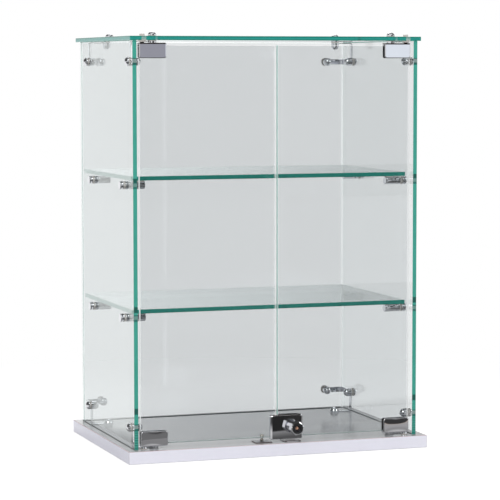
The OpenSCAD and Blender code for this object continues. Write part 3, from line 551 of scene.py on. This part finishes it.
def addPrism(mesh, outline, depth, matrix, bevel=0.0):
    # the outline lies in X and Z, and the depth runs along Y
    near = [mesh.verts.new(matrix @ Vector((x, 0, z))) for x, z in outline]
    far = [mesh.verts.new(matrix @ Vector((x, depth, z))) for x, z in outline]
    count = len(outline)
    faces = [mesh.faces.new(near), mesh.faces.new(far[::-1])]
    faces += [mesh.faces.new([near[i], far[i], far[(i + 1) % count], near[(i + 1) % count]]) for i in range(count)]
    if bevel:
        rim = [e for f in faces[:2] for e in f.edges]
        bmesh.ops.bevel(mesh, geom=rim, offset=bevel, segments=3, profile=0.5, affect="EDGES")


def carved(mesh, *boxes):
    # the same block with boxes cut out of it
    bmesh.ops.recalc_face_normals(mesh, faces=mesh.faces)
    cutMesh = bmesh.new()
    for low, high in boxes:
        middle, size = (Vector(low) + Vector(high)) / 2, Vector(high) - Vector(low)
        bmesh.ops.create_cube(cutMesh, size=1.0, matrix=Matrix.Translation(middle) @ Matrix.Diagonal((*size, 1)))
    pair = []
    for source in (mesh, cutMesh):
        data = bpy.data.meshes.new("block")
        source.to_mesh(data)
        source.free()
        pair.append(bpy.data.objects.new("block", data))
        bpy.context.scene.collection.objects.link(pair[-1])
    cut = pair[0].modifiers.new("cut", "BOOLEAN")
    cut.operation, cut.object, cut.solver, cut.use_self = "DIFFERENCE", pair[1], "EXACT", True
    out = bmesh.new()
    out.from_object(pair[0], bpy.context.evaluated_depsgraph_get())
    for block in pair:
        data = block.data
        bpy.data.objects.remove(block)
        bpy.data.meshes.remove(data)
    return out


# Screws and nuts through the glass

sidePlaces = [((s * outerX, y, z), (s, 0, 0), strips) for s in (-1, 1) for z in (lowZ, highZ)
              for y, strips in ((frontScrewY, 1), (rearScrewY, 2))]
backPlaces = [((s * screwX, backFaceY, z), (0, 1, 0), 1) for s in (-1, 1) for z in (lowZ, highZ)]
topPlaces = [((s * screwX, y, topZ), (0, 0, 1), 1) for s in (-1, 1) for y in (frontScrewY, rearScrewY)]

headLook = {"radius": 6.3, "height": 5.5, "crown": 3.5, "lip": 0.35, "shank": 2.0, "beyond": 6.0}
headSide, headDome = headLook["height"] - headLook["crown"], headLook["radius"] - headLook["lip"]
headProfile = rounded([(0, 0), (headLook["radius"], 0), (headLook["radius"], headSide), (headDome, headSide)], 0.3)
headProfile += dome(headDome - 0.1, headSide, headLook["crown"])
nutLook = {"radius": 6.2, "length": 9.5, "crown": 4.3, "step": 0.4}
nutSide, nutDome = nutLook["length"] - nutLook["crown"], nutLook["radius"] - nutLook["step"]
nutProfile = rounded([(0, 0), (nutLook["radius"], 0), (nutLook["radius"], nutSide - nutLook["step"]),
                      (nutDome, nutSide - nutLook["step"]), (nutDome, nutSide)], 0.25)
nutProfile += dome(nutDome - 0.05, nutSide + 0.02, nutLook["crown"])
for name, places in (("side", sidePlaces), ("back", backPlaces), ("top", topPlaces)):
    heads, nuts = bmesh.new(), bmesh.new()
    for point, direction, strips in places:
        point, direction = Vector(point), Vector(direction)
        seat = glassThick + screwLook["washer"] + strips * screwLook["strip"]
        end, shank = -seat - headLook["beyond"], headLook["shank"]
        addTurned(heads, headProfile, aimed(point + direction * screwLook["washer"], direction))
        addTurned(heads, [(0, end), (shank, end), (shank, 1.0), (0, 1.0)], aimed(point, direction), 24)
        addTurned(nuts, nutProfile, aimed(point - direction * seat, -direction))
    finishMesh(name + "DomedHeads", heads, chrome, "case", [name + "_screws"])
    finishMesh(name + "DomedNuts", nuts, chrome, "case", [name + "_nuts"])
print("screws and nuts made")


# Shelf studs: a head outside the glass and a grooved barrel inside it

studShank = {"radius": 2.5, "length": 17.0}


def grooved(length, at, look):
    r, g = look["radius"], look["groove"]
    return rounded([(0, 0), (r, 0), (r, at - g), (r - g, at), (r, at + g), (r, length), (0, length)], 0.35)


barrels, studHeads = bmesh.new(), bmesh.new()
shank, end = studShank["radius"], -studShank["length"]
for side in (-1, 1):
    for y in studYs:
        for z in studZs:
            outside = aimed((side * (outerX + studLook["washer"]), y, z), (side, 0, 0))
            addTurned(barrels, grooved(studLook["barrel"], studLook["head"], studLook),
                      aimed((side * (innerX - studLook["washer"]), y, z), (-side, 0, 0)))
            addTurned(studHeads, grooved(studLook["head"], studLook["head"] / 2, studLook), outside)
            addTurned(studHeads, [(0, end), (shank, end), (shank, 1.0), (0, 1.0)], outside, 24)
finishMesh("studBarrels", barrels, chrome, "case", ["stud_barrels"])
finishMesh("studHeads", studHeads, chrome, "case", ["stud_heads"])
print("shelf studs made")


# Base screw caps

capLook = {"radius": 7.0, "rim": 0.6, "crown": 5.2, "cone": 3.6, "height": 6.3}
capProfile = rounded([(0, 0), (capLook["radius"], 0), (capLook["radius"], capLook["rim"]),
                      (capLook["crown"] + 0.3, capLook["cone"])], 0.3)
capProfile += dome(capLook["crown"], capLook["cone"] + 0.1, capLook["height"] - capLook["cone"] - 0.1)
caps = bmesh.new()
for side in (-1, 1):
    for y in (frontScrewY, rearScrewY):
        addTurned(caps, capProfile, aimed((side * screwX, y, floorZ + screwLook["strip"]), (0, 0, 1)))
finishMesh("baseCaps", caps, chrome, "case", ["screw_caps"])
print("screw caps made")


# Hinge clamps: two cheeks and a foot in one closed skin, with rolled edges

hingeLook = {"slot": 7.0, "foot": 3.0, "corner": 3.2, "widest": 2.0, "frontRoll": 0.65, "fineRoll": 0.25}


def addChannel(mesh, low, high, look, up):
    # a U that opens upwards, or downwards where up is -1, between two corners of a box
    width, foot = high[0] - low[0], look["foot"]
    outline = cornerOutline(width, high[2] - low[2], (0, 0, look["corner"], look["corner"]))
    base = low[2] if up > 0 else high[2]
    flip = Matrix.Translation((low[0], low[1], base)) @ Matrix.Diagonal((1, 1, up, 1))
    y0, y1, y2, y3 = (y - low[1] for y in (low[1], doorY - look["slot"] / 2, doorY + look["slot"] / 2, high[1]))
    whole = [(0, foot), (0, 0), (width, 0), (width, foot)] + outline[2:]
    cheek = [(width, foot)] + outline[2:] + [(0, foot)]  # above the foot
    spots, faces = {}, []

    def spot(x, y, z):
        key = (round(x, 4), round(y, 4), round(z, 4))
        if key not in spots:
            spots[key] = mesh.verts.new(flip @ Vector((x, y, z)))
        return spots[key]

    def skin(*points):
        faces.append(mesh.faces.new([spot(*point) for point in points]))

    skin(*[(x, y0, z) for x, z in whole])
    skin(*[(x, y3, z) for x, z in whole][::-1])
    skin(*[(x, y1, z) for x, z in cheek][::-1])
    skin(*[(x, y2, z) for x, z in cheek])
    for near, far in ((y0, y1), (y2, y3)):
        for (xa, za), (xb, zb) in zip(cheek, cheek[1:]):
            skin((xa, near, za), (xa, far, za), (xb, far, zb), (xb, near, zb))
    skin((0, y1, foot), (width, y1, foot), (width, y2, foot), (0, y2, foot))
    skin((0, y0, 0), (0, y3, 0), (width, y3, 0), (width, y0, 0))
    for x in (0, width):
        skin((x, y0, 0), (x, y0, foot), (x, y1, foot), (x, y2, foot), (x, y3, foot), (x, y3, 0))
    bmesh.ops.recalc_face_normals(mesh, faces=faces)
    # rolls: widest along the front of the foot, wide round the front, fine elsewhere
    rolls = mesh.edges.layers.float.new("bevel_weight_edge")
    for edge in mesh.edges:
        if len(edge.link_faces) == 2 and edge.calc_face_angle(0.0) > 0.6:
            atFront = all(abs(v.co.y - low[1]) < 1e-4 for v in edge.verts)
            atFoot = all(abs(v.co.z - base) < 1e-4 for v in edge.verts)
            edge[rolls] = (1.0 if atFoot else look["frontRoll"]) if atFront else look["fineRoll"]


for node, body, up in (("hinge_top_left", "left_door", -1), ("hinge_bottom_left", "left_door", 1),
                       ("hinge_top_right", "right_door", -1), ("hinge_bottom_right", "right_door", 1)):
    mesh = bmesh.new()
    addChannel(mesh, *boxMm(node), hingeLook, up)
    finishMesh("clamp" + node[5:].title().replace("_", ""), mesh, clampChrome, body, [node], 40.0,
               hingeLook["widest"])
print("hinge clamps made")


# Lock: case, channel, barrel, plug and post

caseLook = {"wall": 2.0, "depth": 7.5, "corner": 2.6, "footCorner": 0.9, "facets": (2.2, 2.6, 1.0, 0.8),
            "facetDeep": 2.0, "backRoll": 0.4, "room": 1.0, "boltGap": 0.4}
barrelLook = {"flats": 18.5, "turn": 15.0, "length": 19.0, "chamfer": 1.2, "mouthIn": 1.0, "cornerCut": 0.35,
              "neck": 8.1, "neckLong": 8.0, "step": 0.3, "bore": 5.45, "boreDeep": 8.0, "ring": 6.0, "ringDeep": 0.7}
plugLook = {"recess": 0.6, "radius": 5.4, "chamfer": 0.4, "rear": 6.2, "rearTo": 9.0, "rearFrom": -2.0,
            "keyway": 3.7, "keywayDeep": 5.0, "tail": 2.0, "tailFrom": -3.4}
postLook = {"foot": 2.5, "footTo": 3.6, "radius": 1.75, "coneTo": 2.6, "sideTo": 1.2, "crown": 1.1}
caseLow, caseHigh = boxMm("lock_case")
lockX, lockZ = centreOf("lock_plug")[::2]
caseFront, caseBack = caseLow[1], caseLow[1] + caseLook["depth"]


def joinRings(mesh, rings):
    for first, second in zip(rings, rings[1:]):
        for i in range(len(first)):
            j = (i + 1) % len(first)
            mesh.faces.new([first[i], first[j], second[j], second[i]])


def addCase(mesh, low, high, look):
    # a block with facets round its front, wider at the left and right than above and below
    inset, radii = look["backRoll"], [look["footCorner"]] * 2 + [look["corner"]] * 2
    rings = []
    for y, (left, right, over, under) in ((look["depth"], [inset] * 4), (look["depth"] - inset, [0] * 4),
                                          (look["facetDeep"], [0] * 4), (0, look["facets"])):
        outline = cornerOutline(high[0] - low[0] - left - right, high[2] - low[2] - over - under, radii)
        rings.append([mesh.verts.new((low[0] + left + x, low[1] + y, low[2] + under + z)) for x, z in outline])
    mesh.faces.new(rings[0])
    mesh.faces.new(rings[-1][::-1])
    joinRings(mesh, rings)


mesh = bmesh.new()
addCase(mesh, caseLow, caseHigh, caseLook)
boltLow, boltHigh = boxMm("lock_bolt")
crankLow, crankHigh = boxMm("lock_crank")
room, wall, gap = caseLook["room"], caseLook["wall"], caseLook["boltGap"]
cavity = ((crankLow[0] - room, crankLow[1] - 0.1, caseLow[2] + wall),
          (boltHigh[0] + room, caseBack + 1.0, crankHigh[2] + room))
boltSlot = ((boltLow[0] - gap, boltLow[1] - 0.3, caseLow[2] - 1.0),
            (2 * lockX - boltLow[0] + gap, caseBack + 1.0, caseLow[2] + wall + 0.5))
mesh = carved(mesh, cavity, boltSlot)
gripLeft = boxMm("liners_right")[0][0]
gripWide = caseHigh[0] - gripLeft
rearCheek = cornerOutline(gripWide, caseHigh[2] - caseLow[2], (0.4, 0.4, caseLook["corner"], caseLook["corner"]))
addPrism(mesh, rearCheek, wall, Matrix.Translation((gripLeft, caseHigh[1] - wall, caseLow[2])), 0.5)
channelFoot = cornerOutline(gripWide - 0.4, wall, (0.3, 0.3, 0, 0))
addPrism(mesh, channelFoot, caseHigh[1] - caseBack - 0.5,
         Matrix.Translation((gripLeft + 0.2, caseBack - 0.2, caseLow[2])))
finishMesh("lockHousing", mesh, clampChrome, "right_door", ["lock_case"], 40.0)


def addHexBarrel(mesh, matrix, look, steps=96):
    half, length = look["flats"] / 2, look["length"]
    corner, mouth = half / math.cos(math.radians(30)) - look["cornerCut"], half - look["mouthIn"]
    slope = look["chamfer"] / (corner - mouth)

    def hexAt(angle):
        turn = (math.degrees(angle) - look["turn"] + 30) % 60 - 30  # from the nearest corner
        return min(half / math.cos(math.radians(30 - abs(turn))), corner)

    angles = [2 * math.pi * i / steps for i in range(steps)]
    sides = [hexAt(a) for a in angles]
    neckTo, ringFrom = look["neckLong"], length - look["ringDeep"]
    rows = [[(look["neck"], 0.0)] * steps, [(look["neck"], neckTo)] * steps,
            [(r - look["step"], neckTo) for r in sides], [(r, neckTo + look["step"]) for r in sides],
            [(r, length - (r - mouth) * slope) for r in sides], [(mouth, length)] * steps,
            [(look["ring"], length)] * steps, [(look["ring"], ringFrom)] * steps,
            [(look["bore"], ringFrom)] * steps, [(look["bore"], length - look["boreDeep"])] * steps]
    joinRings(mesh, [[mesh.verts.new(matrix @ Vector((r * math.cos(a), r * math.sin(a), z)))
                      for a, (r, z) in zip(angles, row)] for row in rows])


lockAxis = aimed((lockX, caseFront, lockZ), (0, -1, 0))
mesh = bmesh.new()
barrelTurn = Matrix.Translation((lockX, caseFront, lockZ)) @ Matrix.Rotation(math.radians(90), 4, "X")
addHexBarrel(mesh, barrelTurn, barrelLook)
finishMesh("hexBarrel", mesh, chrome, "right_door", ["lock_barrel"], 25.0)

mouthZ, bore, ring = barrelLook["length"], barrelLook["bore"], barrelLook["ring"] - 0.02
ringBack, ringFront = mouthZ - barrelLook["ringDeep"] - 0.05, mouthZ - 0.08
mesh = bmesh.new()
addTurned(mesh, rounded([(bore, ringBack), (ring, ringBack), (ring, ringFront), (bore + 0.02, ringFront),
                         (bore, ringBack)], 0.12), lockAxis, 64)
finishMesh("mouthRing", mesh, blackRubber, "right_door", [])

face = mouthZ - plugLook["recess"]
keywayEnd, rearTo = face - plugLook["keywayDeep"], face - plugLook["rearTo"]
radius, chamfer, keyway, tail = (plugLook[k] for k in ("radius", "chamfer", "keyway", "tail"))
rear, rearFrom, tailFrom = (plugLook[k] for k in ("rear", "rearFrom", "tailFrom"))
mesh = bmesh.new()
addTurned(mesh, rounded([(0, rearFrom), (rear, rearFrom), (rear, rearTo), (radius, rearTo), (radius, face - chamfer),
                         (radius - chamfer, face), (keyway, face), (keyway, keywayEnd), (0, keywayEnd)], 0.15),
          lockAxis, 64)
addTurned(mesh, [(0, tailFrom), (tail, tailFrom), (tail, rearFrom + 0.1), (0, rearFrom + 0.1)], lockAxis, 24)
finishMesh("keyPlug", mesh, blackPlug, "lock_turn", ["lock_plug"])
mesh = bmesh.new()
addTurned(mesh, [(0, keywayEnd), (postLook["foot"], keywayEnd), (postLook["foot"], face - postLook["footTo"]),
                 (postLook["radius"], face - postLook["coneTo"]), (postLook["radius"], face - postLook["sideTo"])]
          + dome(postLook["radius"] - 0.05, face - postLook["crown"], postLook["crown"], 6), lockAxis, 48)
finishMesh("keyPost", mesh, copperPost, "lock_turn", ["lock_post"])
print("lock made")


# Door pivots: shouldered pins and milky bushes

pivotLook = {"pin": 2.5, "play": 0.05, "shoulder": 3.3, "stub": 4.5, "clear": 3.5, "baseReach": 10.5, "topReach": 7.5}
bushLook = {"flange": 5.2, "topFlange": 2.4, "sleeve": 3.6, "proud": 3.0, "end": 1.0,
            "baseRing": 4.9, "baseFlange": 0.8, "baseSleeve": 4.5, "baseBore": -10.0, "baseDeep": -12.0}
pin, clear = pivotLook["pin"], pivotLook["clear"]
for side, body, node in ((-1, "left_door", "pivot_pins_left"), (1, "right_door", "pivot_pins_right")):
    mesh = bmesh.new()
    for z, up, flange, reach, wide in (
            (floorZ, 1, bushLook["baseFlange"], pivotLook["baseReach"], pivotLook["stub"]),
            (roofZ, -1, bushLook["topFlange"], pivotLook["topReach"], pivotLook["shoulder"])):
        addTurned(mesh, rounded([(0, -reach), (pin, -reach), (pin, flange + 0.1), (wide, flange + 0.1),
                                 (wide - 0.5, clear), (0, clear)], 0.15),
                  aimed((side * pivotX, doorY, z), (0, 0, up)), 40)
    finishMesh("pivotPins" + body[:-5].title(), mesh, chrome, body, [node])
high, bore = glassThick + bushLook["proud"], pin + pivotLook["play"]
flange, topFlange, sleeve = (bushLook[k] for k in ("flange", "topFlange", "sleeve"))
boreEnd = high - bushLook["end"]
ring, ringHigh, wide, deep = (bushLook[k] for k in ("baseRing", "baseFlange", "baseSleeve", "baseDeep"))
mesh = bmesh.new()
for side in (-1, 1):
    topAxis, baseAxis = (aimed((side * pivotX, doorY, z), (0, 0, 1)) for z in (roofZ, floorZ))
    addTurned(mesh, rounded([(bore, boreEnd), (bore, -topFlange), (flange, -topFlange), (flange, 0),
                             (sleeve, 0), (sleeve, high), (0, high)], 0.3), topAxis)
    addTurned(mesh, [(0, boreEnd), (bore, boreEnd)], topAxis)
    addTurned(mesh, rounded([(bore, bushLook["baseBore"]), (bore, ringHigh), (ring, ringHigh), (ring, 0),
                             (wide, 0), (wide, deep), (0, deep)], 0.2), baseAxis)
finishMesh("pivotBushes", mesh, milkyNylon, "case", ["pivot_bushes"])
print("pivots made")


# Stop pin: a ball on a stem, with a bulge at its foot

stopLook = {"ball": 3.1, "rise": 8.0, "stem": 1.5, "stemFrom": -7.5, "stemTo": 1.1, "collar": 2.7, "collarAt": 2.6,
            "collarHalf": 1.9}


def arc(radius, middle, half, degrees):
    return [(radius * math.cos(math.radians(a)), middle + half * math.sin(math.radians(a))) for a in degrees]


ball, rise, stem, stemFrom = (stopLook[k] for k in ("ball", "rise", "stem", "stemFrom"))
profile = [(0, stemFrom), (stem, stemFrom), (stem, stopLook["stemTo"])]
profile += arc(stopLook["collar"], stopLook["collarAt"], stopLook["collarHalf"], range(-50, 70, 12))
profile += arc(ball, rise, ball, range(-60, 90, 10)) + [(0, rise + ball)]
mesh = bmesh.new()
addTurned(mesh, profile, aimed((*centreOf("stop_pin")[:2], floorZ), (0, 0, 1)), 32)
finishMesh("ballStop", mesh, nickel, "case", ["stop_pin"])
print("stop pin made")


# Camera, at the photograph's angle

cameraLook = {"place": (-1.0969, -3.2254, 0.5616), "turn": 18.881, "tilt": -4.599, "roll": -0.068,
              "focal": 2270.8, "frame": 500, "sensor": 36.0, "reach": 50}  # focal length and frame in pixels
turn, tilt, roll = (math.radians(cameraLook[k]) for k in ("turn", "tilt", "roll"))
ahead = Vector((math.sin(turn) * math.cos(tilt), math.cos(turn) * math.cos(tilt), math.sin(tilt)))
level = Vector((math.cos(turn), -math.sin(turn), 0))
upright = level.cross(ahead)
across = level * math.cos(roll) + upright * math.sin(roll)
upward = -level * math.sin(roll) + upright * math.cos(roll)
cameraData = bpy.data.cameras.new("camera")
cameraData.sensor_width, cameraData.clip_end = cameraLook["sensor"], cameraLook["reach"]
cameraData.lens = cameraLook["focal"] / cameraLook["frame"] * cameraLook["sensor"]
camera = bpy.data.objects.new("camera", cameraData)
camera.matrix_world = (Matrix.Translation(cameraLook["place"])
                       @ Matrix((across, upward, -ahead)).transposed().to_4x4())
bpy.context.scene.collection.objects.link(camera)
bpy.context.scene.camera = camera


# Floor, world and lamps: the camera sees them plain, and the metal and glass mirror softboxes and a dark room

def raySplit(f):
    # rays from the camera, also through bending glass, and rays that a surface has mirrored
    bent, bounces = f.ray("Is Transmission Ray"), f.ray("Glossy Depth")
    direct = f.ray("Is Camera Ray").atLeast(bent * (bounces < 0.5))
    return direct, f.ray("Is Glossy Ray").atLeast(bent * (bounces > 0.5))


def past(value, edge):
    # 0 before an edge and 1 after it: where it starts and how steep it is
    return (value - edge[0]) * edge[1]


floorLook = {
    "half": 6.0, "below": 0.0003, "grey": 0.75, "glow": 0.72, "shade": 0.36, "white": (0.35, 1.6),
    "near": 0.16, "nearTo": (0.26, 12.0), "frontTo": (0.12, 30.0), "slant": 0.1,  # dark near the case, white away
    # what faces towards the front mirror, by distance in front of the middle of the case
    "left": [(0.15, 0.85), (0.22, 0.30), (0.26, 0.26), (0.325, 0.26), (0.332, 0.34), (0.340, 0.18), (0.9, 0.16),
             (1.0, 0.2)],
    "middle": [(0.15, 0.40), (0.20, 0.14), (0.29, 0.10), (0.331, 0.24), (0.338, 0.30), (0.346, 0.024), (0.9, 0.03),
               (1.0, 0.2)],
    "right": [(0.15, 0.75), (0.20, 0.60), (0.235, 0.30), (0.28, 0.40), (0.350, (0.42, 0.41, 0.40)),
              (0.353, (0.80, 0.66, 0.54)), (0.362, 0.045), (0.9, 0.05), (1.0, 0.2)],
    "middleFrom": (-0.05, 12.0), "rightFrom": (0.13, 12.0),
    "patch": 0.06, "patchFrom": (0.27, 25.0), "patchTo": (-0.24, 25.0),  # dark, at the right end
    # left of the case, by distance from the middle
    "strip": [(0.14, 0.90), (0.21, 0.66), (0.237, 0.42), (0.27, 0.16), (0.29, 0.08), (1.0, 0.08)],
    "stripFrom": -0.24, "stripSlant": 0.085, "stripSharp": 20.0,
}
floorMesh = bmesh.new()
bmesh.ops.create_grid(floorMesh, x_segments=2, y_segments=2, size=floorLook["half"])
floorData = bpy.data.meshes.new("floor")
floorMesh.to_mesh(floorData)
floorMesh.free()
floor = bpy.data.objects.new("floor", floorData)
floor.location = (0, 0, -floorLook["below"])
bpy.context.scene.collection.objects.link(floor)

f = Finish("paleFloor")
direct, reflected = raySplit(f)
depth, across = f.axis(f.place(), 1), f.axis(f.place(), 0)
forward = (depth + across * floorLook["slant"]) * -1.0
left, middle, right = (f.ramp(forward, floorLook[part]) for part in ("left", "middle", "right"))
front = f.mixed(past(across, floorLook["middleFrom"]), left,
                f.mixed(past(across, floorLook["rightFrom"]), middle, right))
beside = (floorLook["stripFrom"] - across).atLeast(depth + floorLook["stripSlant"] - across)
front = f.mixed(beside * floorLook["stripSharp"], front, f.ramp(across * -1.0, floorLook["strip"]))
patchShare = past(across, floorLook["patchFrom"]) * past(depth, floorLook["patchTo"]).atLeast(0.0).atMost(1.0)
front = f.mixed(patchShare, front, floorLook["patch"])
away = f.add("VectorMath", {"operation": "LENGTH"}, {0: f.place()}, out=1)
elsewhere = f.mixed(past(away, floorLook["nearTo"]), floorLook["near"], 1.0)
mirrored = f.mixed(past(depth * -1.0, floorLook["frontTo"]), elsewhere, front)
shaded = f.add("AddShader", inputs={0: f.glow(floorLook["glow"]),
                                    1: f.add("BsdfDiffuse", inputs={"Color": floorLook["shade"]})})
white = past(away, floorLook["white"]).atLeast(0.0).atMost(1.0)
seen = f.layered(white, shaded, f.glow(1.0))
plain = f.layered(reflected, f.add("BsdfDiffuse", inputs={"Color": floorLook["grey"]}), f.glow(mirrored))
floorData.materials.append(f.done(f.layered(direct, plain, seen)))

worldLook = {
    "soft": 0.66, "throughSide": 0.94,  # light on rough surfaces, and the background through the side panels
    # rings round the front, by degrees from it: low screens for the upper clamps, then softboxes to both sides
    "lowest": [(-75, 1.0), (-70, 0.9), (-10, 0.9), (-7, 0.12), (40, 0.12), (60, 1.0)],
    "screens": [(-100, 0.45), (-78, 0.45), (-75, 0.06), (-70, 0.9), (-10, 0.9), (-7, 0.05), (8, 0.05),
                (10, (0.36, 0.365, 0.41)), (19.1, (0.37, 0.375, 0.42)), (19.7, (0.90, 0.96, 1.02)),
                (30, (0.92, 0.97, 1.03))],
    "boxes": [(-100, 0.12), (-34, 0.06), (-31, 1.0), (-10, 1.0), (-7, 0.05), (26, 0.05), (28, 0.95), (54, 0.95),
              (56, 0.06), (76, 0.06), (78, 1.0), (92, 1.0), (95, 0.10)],
    "screensFrom": (0.045, 100.0), "boxesFrom": (0.12, 60.0), "overheadFrom": (0.36, 12.0),
    # by height
    "overhead": [(0.0, 0.06), (0.84, 0.07), (0.86, 0.8), (0.96, 0.8), (1.0, 0.5)],
    "back": [(0.0, 1.0), (0.13, 1.0), (0.19, 0.5), (0.27, 0.10), (1.0, 0.10)],
    "backFrom": (92.0, 1 / 12), "backMiddle": (138.0, 0.1), "backSides": 0.12, "backSidesFrom": (0.0, 20.0),
    "backBright": (157.0, 1 / 9), "backGain": 1.8,
}
world = bpy.data.worlds.new("studio")
bpy.context.scene.world = world
f = Finish("studio", world)
direct, reflected = raySplit(f)
direction = f.add("TexCoord", out="Generated")
azimuth = f.maths("ARCTAN2", f.axis(direction, 0), f.axis(direction, 1) * -1.0) * (180 / math.pi)
up = f.axis(direction, 2)


def aroundRing(name):
    stops = [((degrees + 180) / 360, tone) for degrees, tone in worldLook[name]]
    return f.ramp((azimuth + 180.0) * (1 / 360), stops)


lowSky = f.mixed(past(up, worldLook["screensFrom"]), aroundRing("lowest"), aroundRing("screens"))
frontSky = f.mixed(past(up, worldLook["overheadFrom"]),
                   f.mixed(past(up, worldLook["boxesFrom"]), lowSky, aroundRing("boxes")),
                   f.ramp(up, worldLook["overhead"]))
backSky = f.add("Mix", {"data_type": "RGBA", "blend_type": "MULTIPLY"}, {
    0: 1.0, 6: f.ramp(up, worldLook["back"]),
    7: f.mixed(past(azimuth, worldLook["backBright"]), 1.0, worldLook["backGain"])}, out=2)
sideSky = f.mixed(past(up, worldLook["backSidesFrom"]), 1.0, worldLook["backSides"])
backSky = f.mixed(past(abs(azimuth), worldLook["backMiddle"]), sideSky, backSky)
around = f.mixed(reflected, worldLook["soft"], f.mixed(past(abs(azimuth), worldLook["backFrom"]), frontSky, backSky))
background = 1.0 - f.ray("Is Transmission Ray") * (1.0 - worldLook["throughSide"])
f.done(f.add("Background", inputs={"Color": f.mixed(direct, around, f.mixed(background, 0.0, 1.0))}), "World")

lampTarget = Vector((0, 0, 0.3))
for name, spot, size, power in (("keyLamp", (-1.7, -1.9, 2.3), 1.5, 46), ("fillLamp", (2.4, -1.2, 1.6), 1.4, 18),
                                ("backLamp", (0.6, 2.2, 2.4), 1.6, 20)):
    lampData = bpy.data.lights.new(name, "AREA")
    lampData.size, lampData.energy = size, power
    lamp = bpy.data.objects.new(name, lampData)
    lamp.location = spot
    lamp.rotation_euler = (lampTarget - Vector(spot)).to_track_quat("-Z", "Y").to_euler()
    bpy.context.scene.collection.objects.link(lamp)
bpy.context.scene.view_settings.view_transform = "Standard"
print("studio set")
